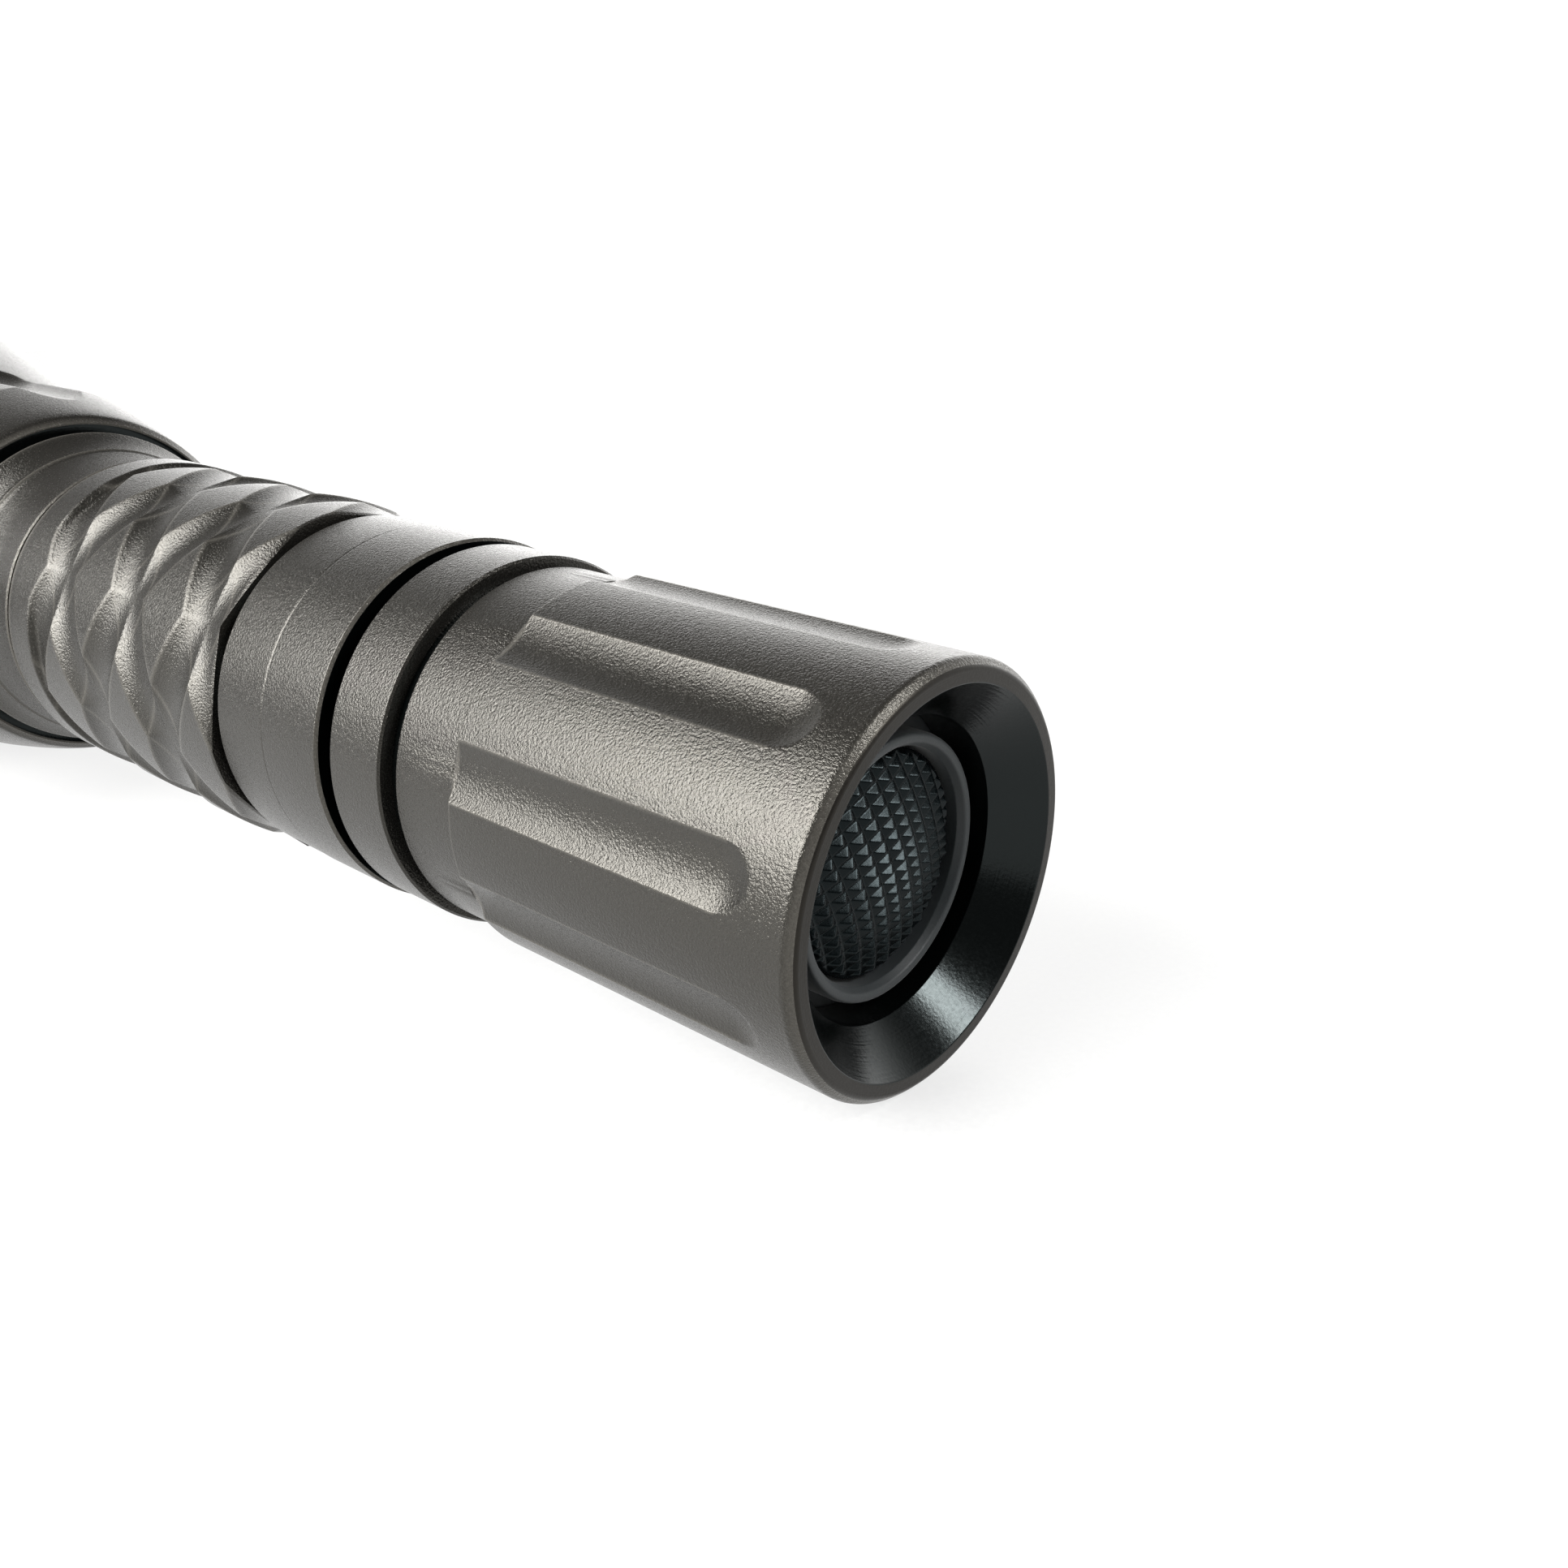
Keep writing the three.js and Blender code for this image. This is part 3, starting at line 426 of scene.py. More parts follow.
def flute_columns(count, turn, half, inner, outer_count):
    """Turns for a fluted body: close together at each flute's edges, and even across the lands."""
    pitch = TURN / count
    inside = half * np.sin(np.linspace(-math.pi / 2, math.pi / 2, inner + 1))
    near = half * np.array([1.03, 1.08])
    land = np.linspace(half * 1.2, pitch - half * 1.2, outer_count)
    one = np.concatenate([inside, near, land, pitch - near[::-1]])
    return np.concatenate([one + turn + k * pitch for k in range(count)])


def cut_distances(s, phi):
    """Distances to the middles of the nearest right-handed and left-handed helical cut, square to them.

    A cut's phase is the station in pads, plus or less the turn in pads, and its spacing is that of the
    diagonals of a pad.
    """
    size = sizes()
    pitch = size.grip_pitch / MM
    arc = TURN * GRIP_R / size.grip_starts
    spacing = pitch * arc / math.hypot(pitch, arc)
    along = (s - GRIP_FIRST_PAD) / pitch
    around = (phi - GRIP_TURN) * size.grip_starts / TURN
    return [np.abs(phase - np.floor(phase) - 0.5) * spacing for phase in (along + around, along - around)]


def grip_depth(s, phi):
    """Depth of the crossing helical cuts: the deeper of two hollows, each depth (1 - (off / half width)^2).

    The cuts fade out in a steep wall ahead of the plain band at the grip's head end.
    """
    deepest = np.zeros(np.shape(s))
    for off in cut_distances(s, phi):
        deepest = np.maximum(deepest, sizes().grip_depth / MM * (1 - (off / GRIP_CUT_HALF) ** 2))
    runout = np.clip((GRIP_CUTS_END - s) / GRIP_RUNOUT, 0, 1)
    inside = (s > GRIP_REAR - 1e-6) & (s < GRIP_FRONT + 1e-6)
    return np.where(inside, deepest * np.sqrt(runout), 0)


def grip_wear(s, phi):
    """1 along the pads' edges and 0 beyond the worn width beside them."""
    near = np.minimum(*[np.abs(off - GRIP_CUT_HALF) for off in cut_distances(s, phi)])
    inside = (s > GRIP_REAR) & (s < GRIP_CUTS_END)
    return np.where(inside, np.clip(1 - near / GRIP_WORN_WIDTH, 0, 1), 0)


def thread_depth(s, phi, start, end):
    """Helical V thread: depth is its height times a blunted triangle wave of s / pitch less the turn."""
    wave = np.abs(((s - start) / THREAD_PITCH - phi / TURN) % 1 * 2 - 1)
    wave = np.clip(wave * 1.15 - 0.075, 0, 1)
    inside = (s > start) & (s < end)
    return np.where(inside, THREAD_HEIGHT * wave, 0)


# ---------------------------------------------------------------- materials


def node(tree, kind, inputs=None, **settings):
    """A node of this kind with its settings, whose inputs are linked to sockets or set to values."""
    made = tree.nodes.new(kind)
    for key, value in settings.items():
        setattr(made, key, value)
    for key, value in (inputs or {}).items():
        socket = made.inputs[key]
        if isinstance(value, bpy.types.NodeSocket):
            tree.links.new(value, socket)
        else:
            socket.default_value = value
    return made


def material(name, base, roughness, metallic=0.0, **sockets):
    """A new material; returns it with its tree and its principled shader."""
    made = bpy.data.materials.new(name)
    made.use_nodes = True
    tree = made.node_tree
    shader = tree.nodes["Principled BSDF"]
    shader.inputs["Base Color"].default_value = (*base[:3], 1.0)
    shader.inputs["Roughness"].default_value = roughness
    shader.inputs["Metallic"].default_value = metallic
    for key, value in sockets.items():
        shader.inputs[key.replace("_", " ")].default_value = value
    return made, tree, shader


def mapped(value, low, high, at_low, at_high):
    """Inputs of a map range that takes value from low..high to at_low..at_high."""
    return {"Value": value, "From Min": low, "From Max": high, "To Min": at_low, "To Max": at_high}


BLAST_GRAIN_MM = 0.16  # coarser than the real bead marks, which are too fine to show
CLOUD_MM = 9.0
RING_MM = 0.12
TURNED_GRAIN_MM = 0.2
BLAST_DEPTH = 0.00005
TURNED_DEPTH = 0.000014


def anodised_aluminium():
    """Aluminium alloy, bead-blasted and hard-anodised: matt dark grey with a fine sparkle and paler edges."""
    tone = colours()
    made, tree, shader = material("Hard_anodised_blasted_aluminium", tone.anodise, 0.3, 0.0, IOR=1.43)
    shader.inputs["Specular Tint"].default_value = linear(0xFFFAEE)
    point = node(tree, "ShaderNodeTexCoord").outputs["Object"]
    cloud = node(tree, "ShaderNodeTexNoise", {"Vector": point, "Scale": 1 / (CLOUD_MM * MM), "Detail": 3.0})
    grain = node(
        tree,
        "ShaderNodeTexNoise",
        {"Vector": point, "Scale": 1 / (BLAST_GRAIN_MM * MM), "Detail": 2.0, "Roughness": 0.6},
    ).outputs["Fac"]
    shade = node(tree, "ShaderNodeMapRange", mapped(cloud.outputs["Fac"], 0.3, 0.7, 0.93, 1.07)).outputs[0]
    fleck = node(tree, "ShaderNodeMapRange", mapped(grain, 0.3, 0.7, 0.82, 1.18)).outputs[0]
    level = node(tree, "ShaderNodeMath", {0: shade, 1: fleck}, operation="MULTIPLY").outputs[0]
    worn = node(tree, "ShaderNodeAttribute", attribute_name="worn")
    base = node(tree, "ShaderNodeMix", data_type="RGBA")
    base.inputs["A"].default_value = (*tone.anodise, 1)
    base.inputs["B"].default_value = (*tone.anodise_worn, 1)
    tree.links.new(worn.outputs["Fac"], base.inputs["Factor"])
    tone_in = {0: base.outputs["Result"], "Scale": level}
    scaled = node(tree, "ShaderNodeVectorMath", tone_in, operation="SCALE")
    tree.links.new(scaled.outputs["Vector"], shader.inputs["Base Color"])
    rough = node(tree, "ShaderNodeMapRange", mapped(grain, 0.25, 0.75, 0.17, 0.31)).outputs[0]
    tree.links.new(rough, shader.inputs["Roughness"])
    bump = node(tree, "ShaderNodeBump", {"Height": grain, "Strength": 1.0, "Distance": BLAST_DEPTH})
    tree.links.new(bump.outputs["Normal"], shader.inputs["Normal"])
    return made


def turned_anodised_aluminium(name, base, tint, roughness):
    """The same anodised alloy left as turned: fine rings round the axis and a semi-gloss black look; on the
    cone, the grooves and the head's mouth that black is painted shade.
    """
    made, tree, shader = material(name, linear(base), roughness, 0.0, IOR=1.33)
    shader.inputs["Specular Tint"].default_value = linear(tint)
    point = node(tree, "ShaderNodeTexCoord").outputs["Object"]
    flat = node(tree, "ShaderNodeVectorMath", {0: point, 1: (0.0, 1.0, 1.0)}, operation="MULTIPLY")
    to_axis = {0: flat.outputs[0], 1: (0.0, 0.0, -AXIS_Z)}
    shifted = node(tree, "ShaderNodeVectorMath", to_axis, operation="ADD")
    radius = node(tree, "ShaderNodeVectorMath", {0: shifted.outputs[0]}, operation="LENGTH")
    rings = node(
        tree,
        "ShaderNodeTexNoise",
        {"W": radius.outputs["Value"], "Scale": 1 / (RING_MM * MM), "Detail": 3.0},
        noise_dimensions="1D",
    )
    grain = node(
        tree, "ShaderNodeTexNoise", {"Vector": point, "Scale": 1 / (TURNED_GRAIN_MM * MM), "Detail": 2.0}
    ).outputs["Fac"]
    both = node(tree, "ShaderNodeMath", {0: rings.outputs["Fac"], 1: grain}, operation="ADD").outputs[0]
    bump = node(tree, "ShaderNodeBump", {"Height": both, "Strength": 0.5, "Distance": TURNED_DEPTH})
    tree.links.new(bump.outputs["Normal"], shader.inputs["Normal"])
    rough = node(tree, "ShaderNodeMapRange", mapped(grain, 0.3, 0.7, roughness - 0.04, roughness + 0.04))
    tree.links.new(rough.outputs["Result"], shader.inputs["Roughness"])
    return made


def grained(name, base, roughness, grain_mm, depth_mm, metallic=0.0, spread=0.06, shade=0.1, **sockets):
    """A material with a fine grain: the grain moves its roughness and shade a little and its normal a lot."""
    made, tree, shader = material(name, base, roughness, metallic, **sockets)
    point = node(tree, "ShaderNodeTexCoord").outputs["Object"]
    grain = node(
        tree, "ShaderNodeTexNoise", {"Vector": point, "Scale": 1 / (grain_mm * MM), "Detail": 3.0}
    ).outputs["Fac"]
    smoothest = max(roughness - spread, 0.02)
    rough = node(tree, "ShaderNodeMapRange", mapped(grain, 0.25, 0.75, smoothest, roughness + spread))
    tree.links.new(rough.outputs["Result"], shader.inputs["Roughness"])
    level = node(tree, "ShaderNodeMapRange", mapped(grain, 0.3, 0.7, 1 - shade, 1 + shade)).outputs[0]
    scaled = node(tree, "ShaderNodeVectorMath", {0: tuple(base[:3]), "Scale": level}, operation="SCALE")
    tree.links.new(scaled.outputs["Vector"], shader.inputs["Base Color"])
    bump = node(tree, "ShaderNodeBump", {"Height": grain, "Strength": 0.5, "Distance": depth_mm * MM})
    tree.links.new(bump.outputs["Normal"], shader.inputs["Normal"])
    return made


FINISHES = {}


def make_finishes():
    """Every finish of the torch, each named for its material and how it was made."""
    tone = colours()
    cool = {"Specular_Tint": linear(0xDAF0F5)}
    FINISHES.update(
        anodised=anodised_aluminium(),
        # anodise left as turned, painted near black as the shade in the cone, the grooves and the head's
        # mouth
        turned=turned_anodised_aluminium("Turned_aluminium_painted_recess_shade", 0x020303, 0xEDFCFC, 0.2),
        rim=turned_anodised_aluminium("Hard_anodised_rim_aluminium", 0x0A0908, 0xFFF6E6, 0.36),
        # silicone rubber, moulded: soft satin with a faint bloom
        rubber=grained("Moulded_silicone_rubber", tone.rubber, 0.5, 0.12, 0.01, IOR=1.43, Sheen_Weight=0.15),
        # the ring's own rubber, moulded against a polished tool, painted nearly black as the shade it sits
        # in, with small glints
        pad=grained("Silicone_rubber_painted_shade_black", linear(0x000203), 0.28, 0.12, 0.006, IOR=1.26, **cool),
        # nitrile rubber, moulded: dull black
        seal=grained("Moulded_nitrile_rubber", tone.seal, 0.55, 0.2, 0.005),
        # glass-filled nylon, moulded: black with a slight orange peel
        plastic=grained("Moulded_glass_filled_nylon", linear(0x1B1B1C), 0.45, 0.3, 0.01),
        # PVC shrink sleeve: smooth and slightly glossy
        wrap=grained("Shrunk_PVC_sleeve", tone.wrap, 0.3, 1.2, 0.01, IOR=1.53),
        # nickel-plated steel, drawn: bright with soft marks
        nickel=grained("Nickel_plated_steel", linear(0xC4C2BC), 0.26, 0.5, 0.004, metallic=1.0),
        # stainless spring wire, drawn: bright
        spring=grained("Drawn_spring_wire", linear(0xC9C6BE), 0.24, 0.08, 0.003, metallic=1.0),
        # brass, turned: warm with tool marks
        brass=grained("Turned_brass", linear(0xC6A355), 0.3, 0.15, 0.005, metallic=1.0),
        # aluminium, turned and left bare: pale with tool marks
        bare=grained("Turned_bare_aluminium", linear(0xBCBEC1), 0.34, 0.15, 0.006, metallic=1.0),
        # fibreglass board with green solder mask: smooth gloss
        green=grained("Solder_masked_fibreglass", linear(0x1F5534), 0.35, 0.6, 0.006),
        # metal-core board with white solder mask: an even satin white
        white=grained("White_masked_metal_core_board", linear(0xE4E4DE), 0.4, 0.6, 0.004),
        # alumina ceramic, fired: matt off-white
        ceramic=grained("Fired_alumina_ceramic", linear(0xD9D7D0), 0.5, 0.1, 0.003),
        # phosphor film: matt yellow
        phosphor=grained("Phosphor_film", linear(0xE3C94A), 0.6, 0.05, 0.003),
        # clear silicone, moulded: a wet-looking dome
        silicone=grained("Clear_moulded_silicone", linear(0xF6F3E4), 0.06, 0.8, 0.001, 0, 0.02, 0, IOR=1.43),
        # vapour-coated aluminium mirror with a faint orange peel
        mirror=grained("Vapour_coated_mirror", linear(0xEDEDED), 0.05, 0.7, 0.002, 1.0, 0.01, 0.01),
        # borosilicate glass, polished: clear, with sharp reflections
        glass=grained("Polished_borosilicate_glass", linear(0xF7FAFA), 0.03, 3, 0.0005, 0, 0.01, 0, IOR=1.47),
    )
    for key in ("silicone", "glass"):
        FINISHES[key].node_tree.nodes["Principled BSDF"].inputs["Transmission Weight"].default_value = 1.0


# ---------------------------------------------------------------- stations shared by the pieces, in mm

# tail cap
CAP_R = 12.5
CAP_FRONT = extent("tail_cap")[1]
RIM_FACE_R = 11.95
CONE_MOUTH_R = 11.15
CONE_DEPTH = 2.7
THROAT_R = 8.85
FLUTE_TIP = 3.1
LAND_END = 26.2
NECK_R = 12.05
NECK_END = 31.9
CAP_GROOVE_R = 11.6
CAP_BAND_REAR = 32.6
CAP_BAND_R = 12.6
BAND_CHAMFER = 0.15
CAP_THREAD_REAR = 22.2
CAP_THREAD_R = 11.0
CAP_BORE_R = 10.0
CAP_SHOULDER = 5.7
CAP_COLUMNS_INSIDE = 20
CAP_COLUMNS_LAND = 18

# boot, button and switch
BOOT_TOP, BOOT_FRONT, BOOT_FLANGE_R = extent("switch_boot")
BOOT_R = 7.8
BOOT_HOLE_R = 6.9
BUTTON_FRONT, BUTTON_R = extent("button_pad")[1:]
BUTTON_CROWN = 2.62
BUTTON_DOME = 1.2
KNURL_RINGS = 120
KNURL_COLUMNS = 640
KNURL_SOFTNESS = 0.09
PLUNGER_STEM_R = 1.8
NOTCH_HALF = 1.0
NOTCH_DEPTH = 0.6

# barrel
BARREL_REAR, BARREL_FRONT, COLLAR_R = extent("barrel")
BORE_R = 8.75
TAIL_SPIGOT_R = 10.7
HEAD_SPIGOT_R = 11.9
TAIL_THREAD = (25.4, 31.6)
HEAD_THREAD = (97.55, 101.2)
THREAD_PITCH = 1.5
THREAD_HEIGHT = 0.5
BAND_REAR = 39.0  # the plain band between the cap and the grip
BAND_STEP = 45.2
BAND_FRONT = 51.0
BAND_R = 12.8
GRIP_R = 13.2
GRIP_REAR = 51.8
GRIP_FRONT = 82.6
GRIP_FIRST_PAD = 59.2
GRIP_TURN = math.radians(-57.7)
GRIP_CUT_HALF = 2.15
GRIP_CUTS_END = 78.8
GRIP_RUNOUT = 0.5
GRIP_WORN_WIDTH = 0.25
GRIP_GROOVE_R = 12.0
BARREL_COLUMNS = 192
GROOVE_R = 12.35  # the barrel is left as turned below this radius, painted near black as the shade in its grooves
HOLLOW_REAR = 83.4  # the shallow waist between the grip and the collar
HOLLOW_LENGTH = 7.3
HOLLOW_R = 12.9
FLARE_START = 90.8
COLLAR_FRONT = 93.6

# head and bezel
HEAD_REAR, HEAD_FRONT = extent("head_shell")[:2]
HEAD_ROW_STEP = 0.16
HEAD_COLUMNS_INSIDE = 34
HEAD_COLUMNS_LAND = 4
MOUTH_DEPTH = 0.85
MOUTH_R = 14.8
SHOULDER_REAR = 95.15
SHOULDER_R = 15.45
NECK_REAR = 103.45
HEAD_R = 17.4
FLARE_REAR = 114.45
BEZEL_STEP = 149.5
BEZEL_REAR, BEZEL_FRONT, BEZEL_R = extent("bezel_ring")
BEZEL_SPIGOT_R = 24.0
LENS_VIEW_R = 22.2

# pieces inside
CELL_TERMINAL = 1.1
COIL_WIRE_R = 0.38
COIL_DEAD_TURNS = 0.75
COIL_STEPS = 40
COIL_SIDES = 12
REFLECTOR_HOLE_R = 2.9
REFLECTOR_RIM_R = 21.6
REFLECTOR_WALL = 0.8
REFLECTOR_FOOT_R = 5.1


def fluted_cap(context):
    """The tail cap: rim, cone, nine flutes, neck and the band behind the parting line."""
    size = context.scene.torch_sizes
    width, depth = size.cap_flute_width / MM, size.cap_flute_depth / MM
    corners = [
        (0.0, CONE_MOUTH_R, 0.12),
        (0.0, RIM_FACE_R, 0.35),
        (0.5, CAP_R, 0.45),
        (LAND_END - 0.32, CAP_R, 0.12),
        (LAND_END, NECK_R, 0.10),
        (NECK_END - 0.35, NECK_R, 0.08),
        (NECK_END, NECK_R - 0.35, 0.0),
        (NECK_END, CAP_GROOVE_R, 0.0),
        (CAP_BAND_REAR, CAP_GROOVE_R, 0.0),
        (CAP_BAND_REAR, CAP_BAND_R - BAND_CHAMFER, 0.0),
        (CAP_BAND_REAR + BAND_CHAMFER, CAP_BAND_R, 0.06),
        (CAP_FRONT - BAND_CHAMFER, CAP_BAND_R, 0.06),
        (CAP_FRONT, CAP_BAND_R - BAND_CHAMFER, 0.0),
        (CAP_FRONT, CAP_THREAD_R + 0.3, 0.0),
        (CAP_FRONT - 0.3, CAP_THREAD_R, 0.0),
        (CAP_THREAD_REAR, CAP_THREAD_R, 0.0),
        (CAP_THREAD_REAR, CAP_BORE_R, 0.0),
        (CAP_SHOULDER, CAP_BORE_R, 0.0),
        (CAP_SHOULDER, THROAT_R, 0.0),
        (CONE_DEPTH, THROAT_R, 0.08),
    ]
    profile = filleted(corners)
    profile = refined(profile, FLUTE_TIP - 0.4, FLUTE_TIP + 3.0, 0.11, CAP_R - 0.1)
    profile = refined(profile, FLUTE_TIP + 3.0, LAND_END - 0.5, 1.6, CAP_R - 0.1)
    turn = size.cap_flute_turn
    half = math.asin(width / 2 / CAP_R)
    columns = flute_columns(size.cap_flutes, turn, half, CAP_COLUMNS_INSIDE, CAP_COLUMNS_LAND)
    skin = profile[(profile[:, 0] < LAND_END + 0.1) & (profile[:, 1] > NECK_R - 0.1)]

    def cut(s, phi):
        """How far the cutter goes below the land, its chamfers or the step at this station."""
        body = np.interp(s, skin[:, 0], skin[:, 1])
        wall = flute_wall(s, phi, CAP_R, size.cap_flutes, width, depth, turn, FLUTE_TIP)
        return np.where(s < LAND_END + 0.1, np.maximum(body - wall, 0), 0)

    def worn(s, phi):
        """1 along the rim, the step at the land's end and the flutes' long edges."""
        edge = np.clip(1 - np.abs(s - 0.2) / 0.35, 0, 1) + np.clip(1 - np.abs(s - LAND_END + 0.2) / 0.3, 0, 1)
        off = np.abs(off_middle(phi, turn, size.cap_flutes))
        side = np.clip(1 - np.abs(off - half) * CAP_R / 0.14, 0, 1) * (s > FLUTE_TIP + 1.9) * (s < LAND_END)
        return np.clip(edge + 0.8 * side, 0, 1)

    def finish_or_shade_of(s, r):
        """The cone and the groove are left as turned and painted near black, as the shade in these recesses;
        the rim's face is left as turned, a little rougher.
        """
        inside_cone = s < CONE_DEPTH + 3.2 and r < CONE_MOUTH_R + 0.02
        inside_groove = LAND_END < s < CAP_FRONT + 0.2 and r < NECK_R - 0.15
        if inside_cone or inside_groove:
            return 1
        return 2 if s < 0.16 else 0

    return turned(
        "fluted_tail_cap",
        profile,
        [FINISHES["anodised"], FINISHES["turned"], FINISHES["rim"]],
        columns=columns,
        relief=cut,
        above=NECK_R - 0.1,
        worn=worn,
        choose=finish_or_shade_of,
    )


class TORCH_OT_tail_cap(bpy.types.Operator):
    """Tail cap, turned and fluted from one bar"""

    bl_idname = "torch.tail_cap"
    bl_label = "Tail Cap"

    def execute(self, context):
        finish(fluted_cap(context), "cap", ["tail_cap"], "anodised_body")
        return {"FINISHED"}


def knurled_dome(context):
    """The button: a dome of a sphere with oblong pyramids on it, and a straight skirt.

    A point at (y, z) on the dome stands out by the smaller of two triangle waves, of y' and of z'. These are
    the point turned by the knurl's angle and counted in pitches across the rows and in steps along them.
    """
    size = context.scene.torch_sizes
    pitch, step, height = size.knurl_pitch / MM, size.knurl_step / MM, size.knurl_height / MM
    ball = (BUTTON_R * BUTTON_R + BUTTON_DOME * BUTTON_DOME) / (2 * BUTTON_DOME)
    knurl_r = BUTTON_R - 0.12
    columns = KNURL_COLUMNS
    r = np.linspace(0, knurl_r, KNURL_RINGS + 1)[1:]
    phi = np.linspace(0, TURN, columns, endpoint=False)
    radius, turn = np.meshgrid(r, phi, indexing="ij")

    def lift(radius, turn):
        """Height of the knurl above the dome, fading out at the knurl's rim."""
        y, z = radius * np.sin(turn), radius * np.cos(turn)
        c, d = math.cos(size.knurl_turn), math.sin(size.knurl_turn)
        rows, files = (c * y - d * z) / pitch, (d * y + c * z) / step
        wave_a = 1 - np.abs(rows % 1 * 2 - 1)
        wave_b = 1 - np.abs(files % 1 * 2 - 1)
        low = 0.5 * (wave_a + wave_b - np.sqrt((wave_a - wave_b) ** 2 + KNURL_SOFTNESS**2))
        rim = np.clip((knurl_r - radius) / 0.25, 0, 1)
        return height * np.clip(low * 1.1, 0, 0.94) * rim

    crown = BUTTON_CROWN + height * 0.95
    station = crown + ball - np.sqrt(ball * ball - radius * radius) - lift(radius, turn)
    edge_s = crown + BUTTON_DOME
    skirt = np.array([[edge_s + 0.02, BUTTON_R - 0.02], [edge_s + 0.12, BUTTON_R], [BUTTON_FRONT, BUTTON_R]])
    station = np.concatenate([station, np.repeat(skirt[:, :1], columns, axis=1)])
    radius = np.concatenate([radius, np.repeat(skirt[:, 1:], columns, axis=1)])
    points = place(station, radius, phi[None, :]).reshape(-1, 3)
    quads = grid_faces(len(radius), columns, False).reshape(-1, 4)
    middle = crown - float(lift(np.zeros(1), np.zeros(1))[0])
    points = np.concatenate([points, place(np.array([middle, BUTTON_FRONT]), np.zeros(2), np.zeros(2))])
    faces = [quads, *lids(len(radius), columns)]
    # the pad finish is the ring's rubber painted nearly black: painted shade on the button
    return add_piece("knurled_button", points, faces, [FINISHES["pad"]], sharp=None)


def boot_ring():
    """The boot's rounded ring with its flange behind the cap's shoulder."""
    corners = [
        (BOOT_TOP + 0.5, BOOT_HOLE_R, 0.2),
        (BOOT_TOP, BOOT_HOLE_R + 0.3, 0.25),
        (BOOT_TOP, BOOT_R - 0.1, 0.3),
        (BOOT_TOP + 0.45, BOOT_R, 0.3),
        (CAP_SHOULDER + 0.1, BOOT_R, 0.0),
        (CAP_SHOULDER + 0.1, BOOT_FLANGE_R, 0.0),
        (BOOT_FRONT, BOOT_FLANGE_R, 0.0),
        (BOOT_FRONT, BOOT_HOLE_R, 0.0),
    ]
    return turned("boot_ring", filleted(corners, steps=6), [FINISHES["rubber"]], columns=160)


class TORCH_OT_button(bpy.types.Operator):
    """Rubber button, its ring and the plunger behind it"""

    bl_idname = "torch.button"
    bl_label = "Button"

    def execute(self, context):
        finish(knurled_dome(context), "button", ["button_pad"], "boot_rubber")
        finish(boot_ring(), "cap", ["switch_boot"], "boot_rubber")
        rear, front, foot_r = extent("button_pusher")
        foot_front = rear + 1.2
        plunger = [
            (rear, 0.0, 0.0),
            (rear, foot_r, 0.2),
            (foot_front, foot_r, 0.15),
            (foot_front, PLUNGER_STEM_R, 0.2),
            (front, PLUNGER_STEM_R, 0.3),
            (front, 0.0, 0.0),
        ]
        turned_piece(
            "switch_plunger", plunger, "plastic", 64, "button", "button_pusher", "black_plastic", closed=False
        )
        return {"FINISHED"}


def switch_can():
    """Corners of the switch's can, with the well that its plunger runs in."""
    rear, front, outer = extent("switch_body")
    well_r, well_front, lip_r, lip_front = 2.1, 14.1, 5.7, 9.05
    return [
        (well_front, 0.0, 0.0),
        (well_front, well_r, 0.0),
        (lip_front, well_r, 0.0),
        (lip_front, lip_r, 0.0),
        (rear, lip_r, 0.1),
        (rear, outer, 0.3),
        (front, outer, 0.3),
        (front, 0.0, 0.0),
    ]


def spanner_ring():
    """The retaining ring: its front face drops into a notch beside the vertical through the axis."""
    rear, front = extent("switch_retainer")[:2]
    profile = filleted(washer("switch_retainer", 6.0, 0.15, 0.2))
    profile = refined(profile, rear - 0.1, front + 0.2, 0.2, 5.5)
    columns = 256
    phi = np.linspace(0, TURN, columns, endpoint=False)
    s = np.repeat(profile[:, :1], columns, axis=1)
    r = np.repeat(profile[:, 1:], columns, axis=1)
    floor = front - NOTCH_DEPTH
    notch = (np.abs(r * np.sin(phi)) < NOTCH_HALF) & (s > floor - 0.1)
    points = place(np.where(notch, floor, s), r, phi[None, :]).reshape(-1, 3)
    quads = grid_faces(len(profile), columns, True).reshape(-1, 4)
    return add_piece("spanner_ring", points, [quads], [FINISHES["brass"]])


class TORCH_OT_switch(bpy.types.Operator):
    """Washer, switch can, brass retaining ring and contact disc"""

    bl_idname = "torch.switch"
    bl_label = "Switch"

    def execute(self, context):
        clamp = washer("boot_washer", 6.9, 0.08, 0.08)
        turned_piece("boot_washer_ring", clamp, "nickel", 128, "cap", "boot_washer", "spring_steel")
        turned_piece(
            "switch_can", switch_can(), "plastic", 96, "cap", "switch_body", "black_plastic", closed=False
        )
        finish(spanner_ring(), "cap", ["switch_retainer"], "brass")
        plate = disc("switch_contact", 0.08)
        turned_piece("contact_disc", plate, "brass", 96, "cap", "switch_contact", "brass", closed=False)
        return {"FINISHED"}


